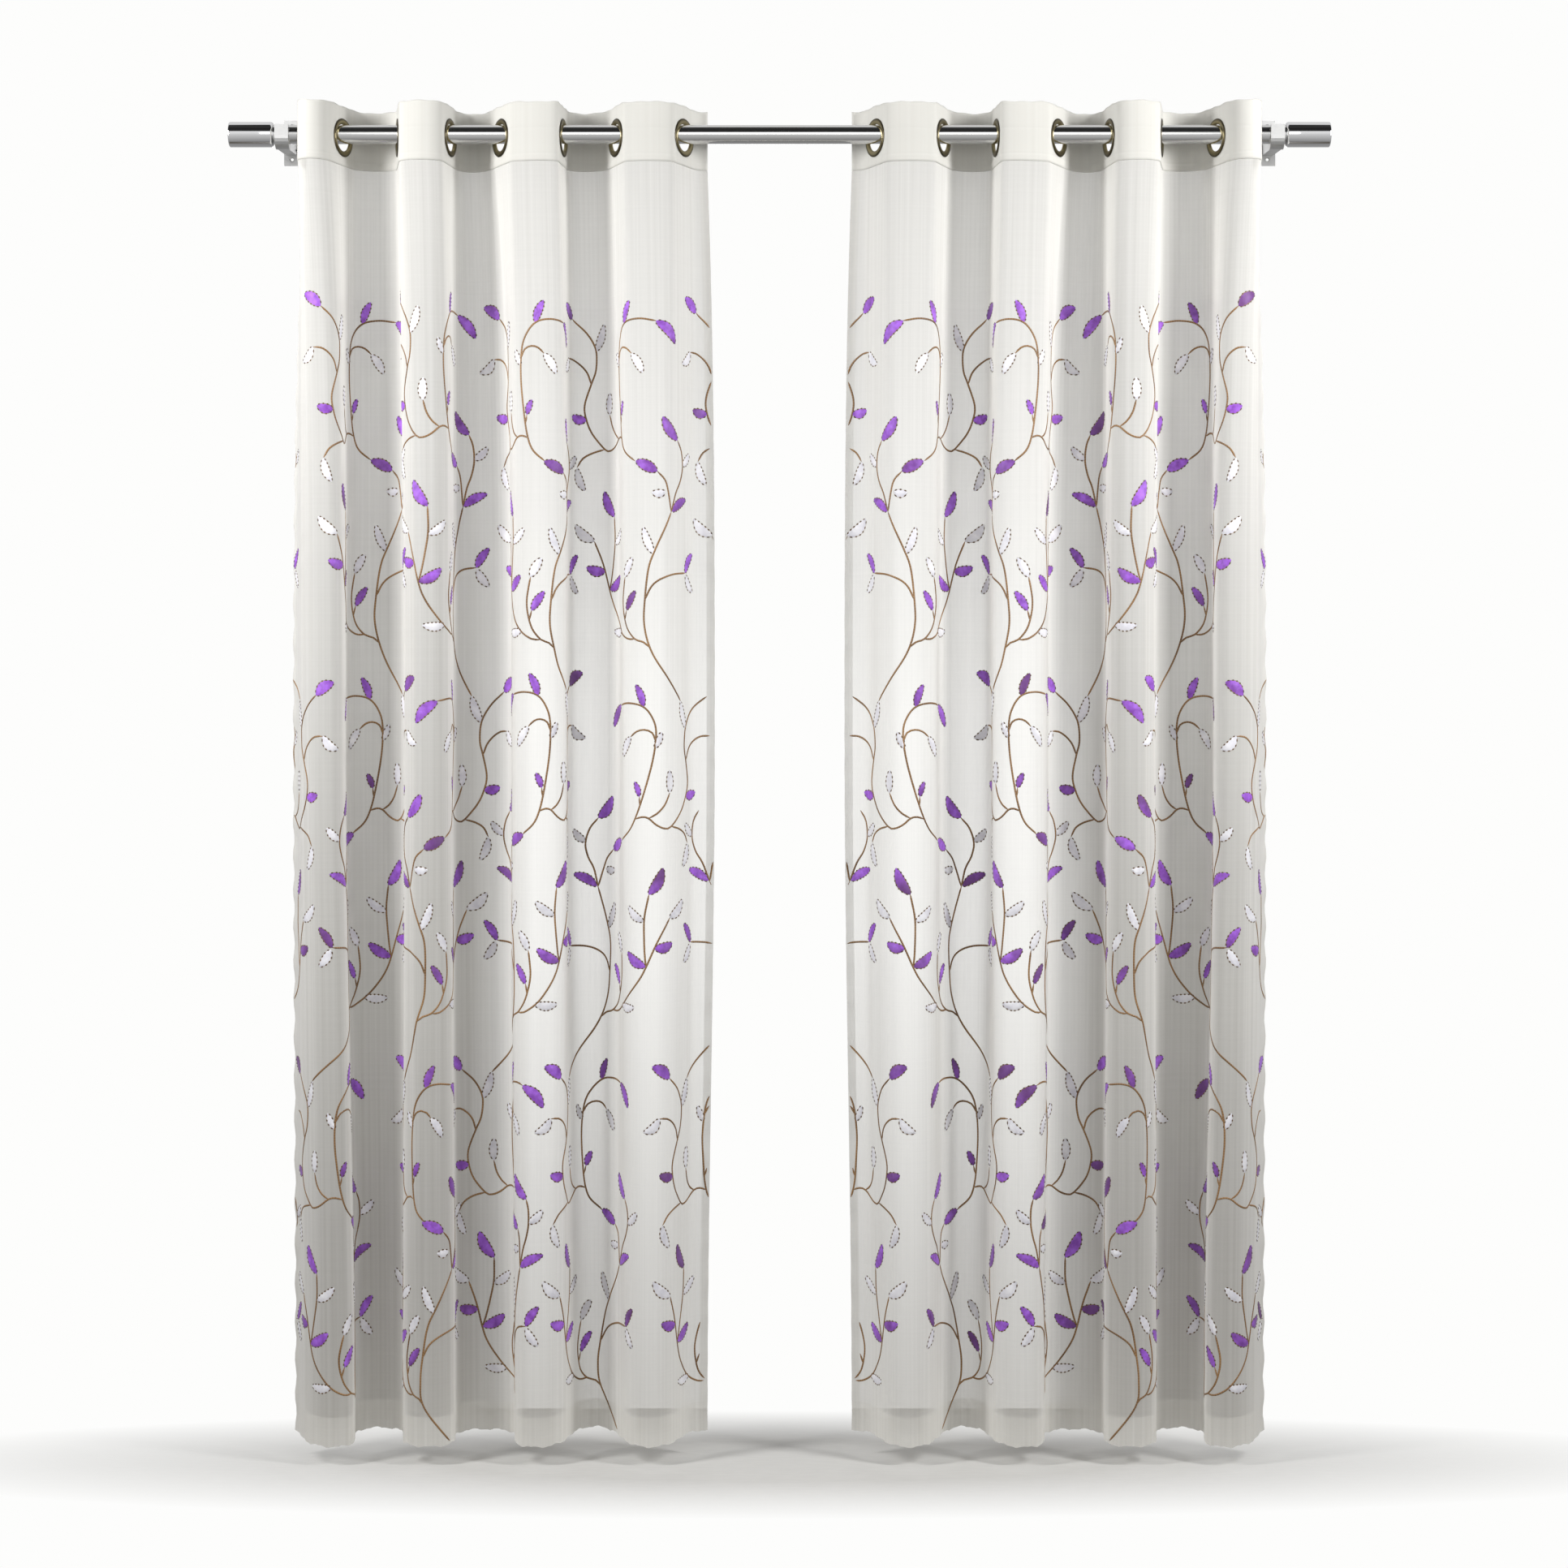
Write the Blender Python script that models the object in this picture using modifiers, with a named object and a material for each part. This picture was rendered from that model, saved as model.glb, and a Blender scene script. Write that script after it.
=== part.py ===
"""A pair of sheer voile eyelet curtains, hung on a round steel rod between two wall brackets.

Metres, +Z up. +X runs along the rod, -Y points into the room and the wall is the plane y = 0.
The origin is on the wall plane, midway between the brackets and level with the rod's centre line.
Each panel is one flat width of cloth. Seen from above it weaves through the line of the rod at
every eyelet, and folds to the front and to the back between them. The fold table holds where
and at what angle it crosses that line at three heights. The right panel mirrors the left one.
"""

import math
from bisect import bisect_right
from collections import namedtuple

import bmesh
import bpy
from mathutils import Matrix, Vector
from mathutils.geometry import interpolate_bezier

MM = 0.001
FIT_GAP = 0.3 * MM
SIDES = {"left": -1, "right": 1}
UP = Vector((0, 0, 1))
# Stands a shape drawn flat in (x, y) upright, so that it is read as (y, z).
STAND_UP = Matrix(((0, 0, 1, 0), (1, 0, 0, 0), (0, 1, 0, 0), (0, 0, 0, 1)))
SHARP_ANGLE = math.radians(35)
WELD_DISTANCE = 0.01 * MM

# Rod and finials
ROD_RADIUS = 15 * MM
ROD_TO_WALL = 95 * MM
ROD_HALF_LENGTH = 811 * MM
ROD_SIDES = 32
FINIAL_RADIUS = 20 * MM
FINIAL_LENGTH = 72 * MM
FINIAL_SHOULDER = 4 * MM
FINIAL_END_BEVEL = 2 * MM
FINIAL_DOME = 2 * MM
FINIAL_STEPS = 32

# Wall brackets
BRACKET_X = 796.5 * MM
PLATE_WIDTH = 26 * MM
PLATE_HEIGHT = 73.5 * MM
PLATE_THICKNESS = 3 * MM
PLATE_CENTRE_Z = 5.3 * MM
SCREW_HOLE_SPREAD = 53.6 * MM
SCREW_HOLE_RADIUS = 2.5 * MM
COUNTERSINK_RADIUS = 4 * MM
COUNTERSINK_DEPTH = 1.5 * MM
HOLE_STEPS = 16
CRADLE_WIDTH = 22 * MM
CRADLE_WALL = 4 * MM
CRADLE_LIP_Z = 13.4 * MM
CRADLE_BOTTOM_Z = -23.7 * MM
CRADLE_ARC_STEPS = 12
ARM_WIDTH = 18 * MM
ARM_TOP_Z = 2 * MM
ARM_BOTTOM_AT_PLATE_Z = -15 * MM
ARM_ABOVE_CRADLE_BOTTOM = 0.5 * MM
SET_SCREW_RADIUS = 1.7 * MM
SET_SCREW_LENGTH = 4 * MM
SET_SCREW_TO_WALL = 12 * MM
SET_SCREW_Z = -9 * MM

# Eyelets
EYELET_BORE_RADIUS = 21 * MM
EYELET_FLANGE_RADIUS = 30.5 * MM
EYELET_NECK_RADIUS = 25 * MM
EYELET_CROWN_RADIUS = 26 * MM
EYELET_HALF_THICKNESS = 2.9 * MM
EYELET_BORE_HALF_LENGTH = 0.9 * MM
EYELET_CENTRE_Z = -5.2 * MM
EYELET_STEPS = 20
EYELET_SPACING = 150 * MM

# Cloth
HEADING_TOP_Z = 45 * MM
HEADING_DEPTH = 95 * MM
HEADING_THICKNESS = 2 * MM
EYELET_HOLE_CUTTER_LENGTH = 20 * MM
CURTAIN_LENGTH = 2134 * MM
HEM_DEPTH = 46 * MM
HEM_STEP = 2 * MM
CLOTH_THICKNESS = 1 * MM
HEM_THICKNESS = 2 * MM
OUTER_MARGIN = 40 * MM
INNER_MARGIN = 60 * MM
HEADING_FLAT = 31.5 * MM
CROSSING_FLAT = 8 * MM
MID_HEIGHT_SHARE = 0.45
# The front folds end this much lower at the hem, and the back folds this much higher.
HEM_SWING = 5.5 * MM
FOLD_DEPTH = 55 * MM

# One row for each eyelet of the left panel, from its outer edge to the middle of the pair.
# x is the distance from the middle in mm. turn is how far the cloth is turned, in degrees, from
# lying straight across the rod's line. Each is given at the heading, at mid height and at the hem.
Crossing = namedtuple("Crossing", "top_x top_turn mid_x mid_turn hem_x hem_turn")
CROSSINGS = (
    Crossing(766, -2, 770, 18, 765, 20),
    Crossing(701, 21, 696, -8, 681, -10),
    Crossing(612, 10, 601, 2, 603, 0),
    Crossing(529, 12, 526, -6, 520, -6),
    Crossing(447, 29, 430, 2, 424, 0),
    Crossing(348, 8, 341, -6, 339, 14),
    Crossing(262, 24, 254, 18, 254, 20),
    Crossing(154, 27, 151, 25, 158, 21),
)
# How far the loose side edges curl past the end crossings, in degrees.
EdgeCurl = namedtuple("EdgeCurl", "top mid hem")
OUTER_CURL = EdgeCurl(10, 12, 12)
INNER_CURL = EdgeCurl(62, 75, 60)

LINK_STEPS = 60
LINK_HALVINGS = 40
FLAP_STEPS = 20
HEADING_LINK_FACES = 8
PANEL_LINK_FACES = 8
FLAP_FACES = 3
PANEL_ROWS = 7


def new_material(name, rgb, metallic, roughness):
    material = bpy.data.materials.new(name)
    material.use_nodes = True
    shader = material.node_tree.nodes["Principled BSDF"]
    shader.inputs["Base Color"].default_value = (*rgb, 1)
    shader.inputs["Metallic"].default_value = metallic
    shader.inputs["Roughness"].default_value = roughness
    return material


def new_collection(name):
    collection = bpy.data.collections.new(name)
    bpy.context.scene.collection.children.link(collection)
    return collection


def add_object(name, mesh, collection, material=None):
    piece = bpy.data.objects.new(name, mesh)
    collection.objects.link(piece)
    if material:
        mesh.materials.clear()
        mesh.materials.append(material)
    return piece


def mesh_from(name, bm):
    """A mesh shaded smooth, but for its sharp edges."""
    mesh = bpy.data.meshes.new(name)
    bm.to_mesh(mesh)
    bm.free()
    mesh.shade_smooth()
    mesh.set_sharp_from_angle(angle=SHARP_ANGLE)
    return mesh


def make_cutter(piece):
    piece.hide_render = True
    piece.display_type = "WIRE"
    return piece


def boolean(piece, operation, other):
    modifier = piece.modifiers.new(other.name, "BOOLEAN")
    modifier.operation = operation
    modifier.solver = "EXACT"
    modifier.object = other


def cylinder_mesh(name, radius, length, sides):
    bm = bmesh.new()
    bmesh.ops.create_cone(
        bm, cap_ends=True, segments=sides, radius1=radius, radius2=radius, depth=length
    )
    return mesh_from(name, bm)


def box_mesh(name, size):
    bm = bmesh.new()
    bmesh.ops.create_cube(bm, size=1)
    bmesh.ops.scale(bm, vec=size, verts=bm.verts)
    return mesh_from(name, bm)


def turned(name, profile, steps, collection, material=None, closed=False):
    """A profile of (radius, height) points turned about Z by a Screw modifier."""
    bm = bmesh.new()
    points = [bm.verts.new((radius, 0, height)) for radius, height in profile]
    pairs = list(zip(points, points[1:]))
    if closed:
        pairs.append((points[-1], points[0]))
    for pair in pairs:
        bm.edges.new(pair)
    mesh = bpy.data.meshes.new(name)
    bm.to_mesh(mesh)
    bm.free()
    piece = add_object(name, mesh, collection, material)
    screw = piece.modifiers.new("turn", "SCREW")
    screw.steps = steps
    screw.render_steps = steps
    screw.use_merge_vertices = True
    screw.merge_threshold = WELD_DISTANCE
    screw.use_smooth_shade = True
    return piece


def along(direction):
    """Rotation that turns local Z to direction and local X to straight up."""
    across = direction.cross(UP)
    return Matrix((UP, across, direction)).transposed().to_4x4()


# The cloth seen from above


def direction(turn, to_room):
    """Unit step along the cloth, from the outer edge inwards, where it crosses the rod's line."""
    angle = math.radians(turn)
    return Vector((math.sin(angle), -math.cos(angle) if to_room else math.cos(angle)))


def path_length(points):
    return sum((b - a).length for a, b in zip(points, points[1:]))


def link(start, start_step, end, end_step, length):
    """A smooth fold of a given cloth length between two crossings."""
    low, high = 0.0, 2 * length
    for _ in range(LINK_HALVINGS):
        handle = (low + high) / 2
        points = interpolate_bezier(
            start, start + start_step * handle, end - end_step * handle, end, LINK_STEPS
        )
        if path_length(points) < length:
            low = handle
        else:
            high = handle
    return points


def flap(start, step, curl, length):
    """The loose edge past an end crossing, curling at an even rate."""
    points = [start]
    for i in range(FLAP_STEPS):
        angle = math.radians(curl) * (i + 0.5) / FLAP_STEPS
        turned_step = Matrix.Rotation(-angle, 2) @ step
        points.append(points[-1] + turned_step * (length / FLAP_STEPS))
    return points


def plan_curve(level, flat):
    """The left panel's cloth from above at one level: its points and the cloth length to each."""
    places, steps = [], []
    for number, row in enumerate(CROSSINGS):
        places.append(Vector((-getattr(row, f"{level}_x") * MM, 0)))
        steps.append(direction(getattr(row, f"{level}_turn"), number % 2 == 0))
    outer = flap(
        places[0] - steps[0] * flat,
        -steps[0],
        -getattr(OUTER_CURL, level),
        OUTER_MARGIN - flat,
    )
    points = outer[::-1]
    for number in range(len(places) - 1):
        points += link(
            places[number] + steps[number] * flat,
            steps[number],
            places[number + 1] - steps[number + 1] * flat,
            steps[number + 1],
            EYELET_SPACING - 2 * flat,
        )
    points += flap(
        places[-1] + steps[-1] * flat,
        steps[-1],
        getattr(INNER_CURL, level),
        INNER_MARGIN - flat,
    )
    lengths = [0.0]
    for a, b in zip(points, points[1:]):
        lengths.append(lengths[-1] + (b - a).length)
    return points, lengths


def on_curve(curve, across):
    """The point of a plan curve at a distance across the cloth from its outer edge."""
    points, lengths = curve
    across = min(max(across, 0.0), lengths[-1])
    after = min(max(bisect_right(lengths, across), 1), len(lengths) - 1)
    share = (across - lengths[after - 1]) / (lengths[after] - lengths[after - 1])
    return points[after - 1].lerp(points[after], share)


CURVES = {
    "top": plan_curve("top", HEADING_FLAT),
    "mid": plan_curve("mid", CROSSING_FLAT),
    "hem": plan_curve("hem", CROSSING_FLAT),
}
EYELET_PLACES = [OUTER_MARGIN + number * EYELET_SPACING for number in range(len(CROSSINGS))]
CLOTH_WIDTH = EYELET_PLACES[-1] + INNER_MARGIN
PANEL_TOP_Z = HEADING_TOP_Z - HEADING_DEPTH - FIT_GAP
PANEL_LENGTH = CURTAIN_LENGTH - HEADING_DEPTH - FIT_GAP


def cloth_point(across, drop, side):
    """Where a point of the hung panel is, from its place on the flat cloth below the heading."""
    share = drop / PANEL_LENGTH
    if share < MID_HEIGHT_SHARE:
        upper, lower = "top", "mid"
        blend = 1 - (1 - share / MID_HEIGHT_SHARE) ** 3
    else:
        upper, lower = "mid", "hem"
        part = (share - MID_HEIGHT_SHARE) / (1 - MID_HEIGHT_SHARE)
        blend = part * part * (3 - 2 * part)
    plan = on_curve(CURVES[upper], across).lerp(on_curve(CURVES[lower], across), blend)
    swing = HEM_SWING * share * plan.y / FOLD_DEPTH
    return Vector((plan.x * -side, plan.y - ROD_TO_WALL, PANEL_TOP_Z - drop + swing))


def heading_point(across, drop, side):
    plan = on_curve(CURVES["top"], across)
    return Vector((plan.x * -side, plan.y - ROD_TO_WALL, HEADING_TOP_Z - drop))


def even_steps(start, end, count):
    return [start + (end - start) * i / count for i in range(count)]


def columns_across(flat, link_faces):
    """Distances across the cloth where its faces divide, with one face on the flat of each eyelet."""
    columns = even_steps(0, EYELET_PLACES[0] - flat, FLAP_FACES)
    for place, following in zip(EYELET_PLACES, EYELET_PLACES[1:]):
        if flat:
            columns.append(place - flat)
        columns += even_steps(place + flat, following - flat, link_faces)
    if flat:
        columns.append(EYELET_PLACES[-1] - flat)
    columns += even_steps(EYELET_PLACES[-1] + flat, CLOTH_WIDTH, FLAP_FACES)
    return columns + [CLOTH_WIDTH]


def folded_sheet(name, columns, drops, place, side):
    """A flat grid of cloth, its points moved row by row to where the cloth hangs."""
    bm = bmesh.new()
    bmesh.ops.create_grid(bm, x_segments=len(columns) - 1, y_segments=len(drops) - 1, size=0.5)
    for index, vert in enumerate(bm.verts):
        row, column = divmod(index, len(columns))
        vert.co = place(columns[column], drops[row], side)
    mesh = bpy.data.meshes.new(name)
    bm.to_mesh(mesh)
    bm.free()
    mesh.shade_smooth()
    return mesh


def solidify(piece, thickness):
    modifier = piece.modifiers.new("thickness", "SOLIDIFY")
    modifier.thickness = thickness
    modifier.offset = 0
    modifier.use_even_offset = True
    return modifier


def build_panel(word, side, parts, material):
    """The voile below the heading, with its hem turned up double."""
    hem_top = PANEL_LENGTH - HEM_DEPTH
    drops = [(hem_top - HEM_STEP) * i / PANEL_ROWS for i in range(PANEL_ROWS + 1)]
    drops += [hem_top, PANEL_LENGTH]
    columns = columns_across(0, PANEL_LINK_FACES)
    mesh = folded_sheet(f"panel_{word}", columns, drops, cloth_point, side)
    piece = add_object(f"panel_{word}", mesh, parts, material)
    layers = piece.vertex_groups.new(name="layers")
    for vert in mesh.vertices:
        in_hem = vert.index // len(columns) > PANEL_ROWS
        layers.add([vert.index], 1 if in_hem else CLOTH_THICKNESS / HEM_THICKNESS, "REPLACE")
    modifier = solidify(piece, HEM_THICKNESS)
    modifier.vertex_group = layers.name


def build_heading(word, side, parts, cutters, material):
    """The stiffened double band along the top, with a round hole cut for each eyelet."""
    columns = columns_across(HEADING_FLAT, HEADING_LINK_FACES)
    mesh = folded_sheet(f"heading_{word}", columns, [0, HEADING_DEPTH], heading_point, side)
    piece = add_object(f"heading_{word}", mesh, parts, material)
    solidify(piece, HEADING_THICKNESS)
    for number, matrix in enumerate(eyelet_matrices(side), 1):
        name = f"eyelet_hole_{word}_{number}"
        radius = EYELET_NECK_RADIUS + FIT_GAP
        hole = cylinder_mesh(name, radius, EYELET_HOLE_CUTTER_LENGTH, EYELET_STEPS)
        cutter = make_cutter(add_object(name, hole, cutters))
        cutter.matrix_world = matrix
        boolean(piece, "DIFFERENCE", cutter)


def eyelet_matrices(side):
    """Place and turn of each eyelet: its axis is square to the cloth that it clamps."""
    matrices = []
    for number, row in enumerate(CROSSINGS):
        step = direction(row.top_turn, number % 2 == 0)
        cloth = Vector((step.x * -side, step.y, 0))
        centre = Vector((side * row.top_x * MM, -ROD_TO_WALL, EYELET_CENTRE_Z))
        matrices.append(Matrix.Translation(centre) @ along(cloth.cross(UP)))
    return matrices


def build_eyelets(word, side, parts, material):
    """Two-part rings: a rounded bore, and a flange on each face of the cloth."""
    groove = HEADING_THICKNESS / 2 + FIT_GAP
    half = [
        (EYELET_NECK_RADIUS, groove),
        (EYELET_FLANGE_RADIUS, groove),
        (EYELET_CROWN_RADIUS, EYELET_HALF_THICKNESS),
        (EYELET_BORE_RADIUS, EYELET_BORE_HALF_LENGTH),
    ]
    # The groove and lower flange first, then up the bore and out along the upper flange.
    profile = [(radius, -height) for radius, height in half] + half[::-1]
    first = turned(f"eyelet_{word}_1", profile, EYELET_STEPS, parts, material, closed=True)
    matrices = eyelet_matrices(side)
    first.matrix_world = matrices[0]
    for number, matrix in enumerate(matrices[1:], 2):
        ring = first.copy()
        ring.name = f"eyelet_{word}_{number}"
        parts.objects.link(ring)
        ring.matrix_world = matrix


def build_rod(parts, material):
    mesh = cylinder_mesh("rod", ROD_RADIUS, 2 * ROD_HALF_LENGTH, ROD_SIDES)
    rod = add_object("rod", mesh, parts, material)
    rod.matrix_world = Matrix.Translation((0, -ROD_TO_WALL, 0)) @ along(Vector((1, 0, 0)))


def build_finial(word, side, parts, material):
    """A plain cylinder, bevelled to the rod's width where it meets the rod."""
    profile = [
        (0, FINIAL_LENGTH),
        (FINIAL_RADIUS - FINIAL_END_BEVEL, FINIAL_LENGTH - FINIAL_DOME / 2),
        (FINIAL_RADIUS, FINIAL_LENGTH - FINIAL_DOME / 2 - FINIAL_END_BEVEL),
        (FINIAL_RADIUS, FINIAL_SHOULDER),
        (ROD_RADIUS + FIT_GAP, 0),
        (0, 0),
    ]
    finial = turned(f"finial_{word}", profile, FINIAL_STEPS, parts, material)
    start = Vector((side * (ROD_HALF_LENGTH + FIT_GAP), -ROD_TO_WALL, 0))
    finial.matrix_world = Matrix.Translation(start) @ along(Vector((side, 0, 0)))


def arc(centre, radius, start, end, steps):
    """Points on an arc in the (y, z) plane, angles in degrees from -Y towards +Z."""
    points = []
    for i in range(steps + 1):
        angle = math.radians(start + (end - start) * i / steps)
        points.append((centre - radius * math.cos(angle), radius * math.sin(angle)))
    return points


def extruded(name, outline, width, x, collection):
    """A flat (y, z) outline given a width along X, as a mesh that a Boolean can use."""
    curve = bpy.data.curves.new(name, "CURVE")
    curve.dimensions = "2D"
    curve.fill_mode = "BOTH"
    curve.extrude = width / 2
    spline = curve.splines.new("POLY")
    spline.points.add(len(outline) - 1)
    for point, (y, z) in zip(spline.points, outline):
        point.co = (y, z, 0, 1)
    spline.use_cyclic_u = True
    holder = bpy.data.objects.new(name + "_outline", curve)
    collection.objects.link(holder)
    holder.matrix_world = Matrix.Translation((x, 0, 0)) @ STAND_UP
    bpy.context.view_layer.update()
    shape = holder.evaluated_get(bpy.context.evaluated_depsgraph_get())
    mesh = bpy.data.meshes.new_from_object(shape)
    bm = bmesh.new()
    bm.from_mesh(mesh)
    bmesh.ops.remove_doubles(bm, verts=bm.verts, dist=WELD_DISTANCE)
    bm.to_mesh(mesh)
    bm.free()
    piece = make_cutter(add_object(name, mesh, collection))
    piece.matrix_world = holder.matrix_world
    bpy.data.objects.remove(holder)
    return piece


def cradle_outline():
    """The U that carries the rod: a lip in front, a thick floor and a wall behind."""
    inner = ROD_RADIUS + FIT_GAP
    outer = inner + CRADLE_WALL
    seat = arc(-ROD_TO_WALL, inner, 0, -180, CRADLE_ARC_STEPS)
    corner = -CRADLE_BOTTOM_Z - outer
    under = [
        (y, z - corner) for y, z in arc(-ROD_TO_WALL, outer, -180, 0, CRADLE_ARC_STEPS)
    ]
    back, front = -ROD_TO_WALL + outer, -ROD_TO_WALL - outer
    return [
        (front, CRADLE_LIP_Z),
        (front + CRADLE_WALL, CRADLE_LIP_Z),
        *seat,
        (back - CRADLE_WALL, CRADLE_LIP_Z),
        (back, CRADLE_LIP_Z),
        *under,
    ]


def arm_outline():
    """The arm from the cradle's back wall to the plate, its underside rising to the wall."""
    seat = ROD_RADIUS + FIT_GAP
    start = -ROD_TO_WALL + seat + CRADLE_WALL / 2
    end = -PLATE_THICKNESS / 2
    inside_floor_z = (CRADLE_BOTTOM_Z - seat) / 2
    return [
        (start, ARM_TOP_Z),
        (start, inside_floor_z),
        (-ROD_TO_WALL, inside_floor_z),
        (-ROD_TO_WALL, CRADLE_BOTTOM_Z + ARM_ABOVE_CRADLE_BOTTOM),
        (end, ARM_BOTTOM_AT_PLATE_Z),
        (end, ARM_TOP_Z),
    ]


def build_bracket(word, side, parts, cutters, material):
    """Wall plate, arm and cradle in one piece, with two countersunk screw holes."""
    x = side * BRACKET_X
    plate = box_mesh(f"bracket_{word}", (PLATE_WIDTH, PLATE_THICKNESS, PLATE_HEIGHT))
    bracket = add_object(f"bracket_{word}", plate, parts, material)
    bracket.location = (x, -PLATE_THICKNESS / 2, PLATE_CENTRE_Z)
    boolean(bracket, "UNION", extruded(f"arm_{word}", arm_outline(), ARM_WIDTH, x, cutters))
    cradle = extruded(f"cradle_{word}", cradle_outline(), CRADLE_WIDTH, x, cutters)
    boolean(bracket, "UNION", cradle)
    beyond = 2 * PLATE_THICKNESS
    profile = [
        (0, beyond),
        (COUNTERSINK_RADIUS, beyond),
        (COUNTERSINK_RADIUS, 0),
        (SCREW_HOLE_RADIUS, -COUNTERSINK_DEPTH),
        (SCREW_HOLE_RADIUS, -beyond),
        (0, -beyond),
    ]
    for name, offset in (("upper", 0.5), ("lower", -0.5)):
        hole = make_cutter(turned(f"{name}_hole_{word}", profile, HOLE_STEPS, cutters))
        z = PLATE_CENTRE_Z + offset * SCREW_HOLE_SPREAD
        hole.matrix_world = Matrix.Translation((x, -PLATE_THICKNESS, z)) @ along(
            Vector((0, -1, 0))
        )
        boolean(bracket, "DIFFERENCE", hole)


def build_set_screw(word, side, parts, material):
    """The small screw in the arm's right-hand side. Both brackets are the same hand."""
    mesh = cylinder_mesh(f"set_screw_{word}", SET_SCREW_RADIUS, SET_SCREW_LENGTH, HOLE_STEPS)
    screw = add_object(f"set_screw_{word}", mesh, parts, material)
    x = side * BRACKET_X + ARM_WIDTH / 2 + FIT_GAP + SET_SCREW_LENGTH / 2
    place = Matrix.Translation((x, -SET_SCREW_TO_WALL, SET_SCREW_Z))
    screw.matrix_world = place @ along(Vector((1, 0, 0)))


def main():
    for old in list(bpy.data.objects):
        bpy.data.objects.remove(old)
    parts = new_collection("voile_curtain_pair")
    cutters = new_collection("cutters")
    voile = new_material("voile", (0.89, 0.88, 0.84), 0, 0.9)
    heading_cloth = new_material("heading_cloth", (0.93, 0.92, 0.89), 0, 0.85)
    brass = new_material("antique_brass", (0.26, 0.2, 0.08), 1, 0.35)
    steel = new_material("brushed_steel", (0.55, 0.55, 0.54), 1, 0.25)
    chrome = new_material("polished_chrome", (0.75, 0.75, 0.75), 1, 0.08)
    zinc = new_material("satin_zinc", (0.5, 0.5, 0.5), 1, 0.4)
    screw_steel = new_material("dark_screw", (0.12, 0.12, 0.12), 1, 0.4)
    build_rod(parts, steel)
    for word, side in SIDES.items():
        build_finial(word, side, parts, chrome)
        build_bracket(word, side, parts, cutters, zinc)
        build_set_screw(word, side, parts, screw_steel)
        build_eyelets(word, side, parts, brass)
        build_heading(word, side, parts, cutters, heading_cloth)
        build_panel(word, side, parts, voile)


main()
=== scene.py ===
# %% [markdown]
# # A pair of sheer voile eyelet curtains on a steel rod
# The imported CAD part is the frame. Its brackets and set screws keep their shapes and only get
# finishes. The cloth, the rings, the rod and the finials are made again here, finer, in the same
# place.
#
# The real object is voile cloth, so everything that is sewn on it is first laid out on the flat
# cloth and then carried onto the folds. One function does that for the weave, the hems, the
# stitching and the embroidery, so they can't drift apart.

# %% Load the frame and keep its box
import math
from collections import namedtuple

import bpy
import numpy as np
from mathutils import Matrix, Vector
from mathutils.geometry import interpolate_bezier


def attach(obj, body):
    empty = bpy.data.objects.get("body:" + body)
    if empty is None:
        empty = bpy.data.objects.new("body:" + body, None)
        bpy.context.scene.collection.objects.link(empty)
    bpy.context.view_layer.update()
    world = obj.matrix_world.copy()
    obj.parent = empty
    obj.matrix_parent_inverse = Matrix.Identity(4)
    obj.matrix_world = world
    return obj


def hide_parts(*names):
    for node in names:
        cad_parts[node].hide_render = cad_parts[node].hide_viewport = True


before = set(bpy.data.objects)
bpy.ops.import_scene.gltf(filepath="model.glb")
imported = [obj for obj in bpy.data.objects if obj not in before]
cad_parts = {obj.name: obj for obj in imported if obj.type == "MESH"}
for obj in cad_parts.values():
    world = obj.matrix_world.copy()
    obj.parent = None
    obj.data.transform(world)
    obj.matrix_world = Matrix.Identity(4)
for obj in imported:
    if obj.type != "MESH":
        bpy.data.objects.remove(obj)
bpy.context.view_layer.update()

MM = 0.001
SIDES = {"left": -1, "right": 1}

# %% [markdown]
# ## Small helpers
# A few helpers serve every piece. `linear` turns an sRGB hex value, as read on a screen, into the
# linear colour that a shader works in. `add` puts one node in a material, with its settings and
# links. `piece` makes an object from arrays of points and faces, with the flat cloth (or the turned
# profile) as its UV map in metres, so a pattern's scale can be given as a real thread spacing.

# %% Colour and node helpers
# A Mix node takes its two colours at inputs 6 and 7 and gives the mixed one at output 2.
FIRST, SECOND, MIXED = 6, 7, 2


def linear(code):
    """An sRGB hex value as a linear colour."""
    values = [int(code[i : i + 2], 16) / 255 for i in (1, 3, 5)]
    return (*[v / 12.92 if v <= 0.04045 else ((v + 0.055) / 1.055) ** 2.4 for v in values], 1)


def add(material, kind, links=None, stops=(), **settings):
    """One node: settings by attribute or socket name, links by socket name or number.

    A link starts at a socket or at a node's first output. A number or a colour in its place is set
    on the socket itself. A colour ramp takes its stops as (position, colour), in rising order.
    """
    node = material.node_tree.nodes.new("ShaderNode" + kind)
    for name, value in settings.items():
        if hasattr(node, name):
            setattr(node, name, value)
        else:
            node.inputs[name.replace("_", " ")].default_value = value
    for name, source in (links or {}).items():
        if isinstance(source, (int, float, tuple)):
            node.inputs[name].default_value = source
        else:
            material.node_tree.links.new(getattr(source, "outputs", [source])[0], node.inputs[name])
    for number, (position, colour) in enumerate(stops):
        elements = node.color_ramp.elements
        stop = elements[number] if number < len(elements) else elements.new(position)
        stop.position, stop.color = position, colour
    return node


def new_material(name):
    """An empty node material."""
    material = bpy.data.materials.new(name)
    material.use_nodes = True
    material.node_tree.nodes.clear()
    return material


print("white in linear colour:", linear("#ffffff"))

# %% Mesh helpers
# A quad's four corners, walked the other way round from the same start.
OTHER_WAY = [0, 3, 2, 1]


def stacked(*parts):
    """Arrays of coordinates, stretched to one shape, as points."""
    return np.stack(np.broadcast_arrays(*parts), -1)


def along_path(points):
    """How far along a path each of its points lies."""
    return np.concatenate(([0], np.cumsum(np.linalg.norm(np.diff(points, axis=0), axis=1))))


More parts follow.
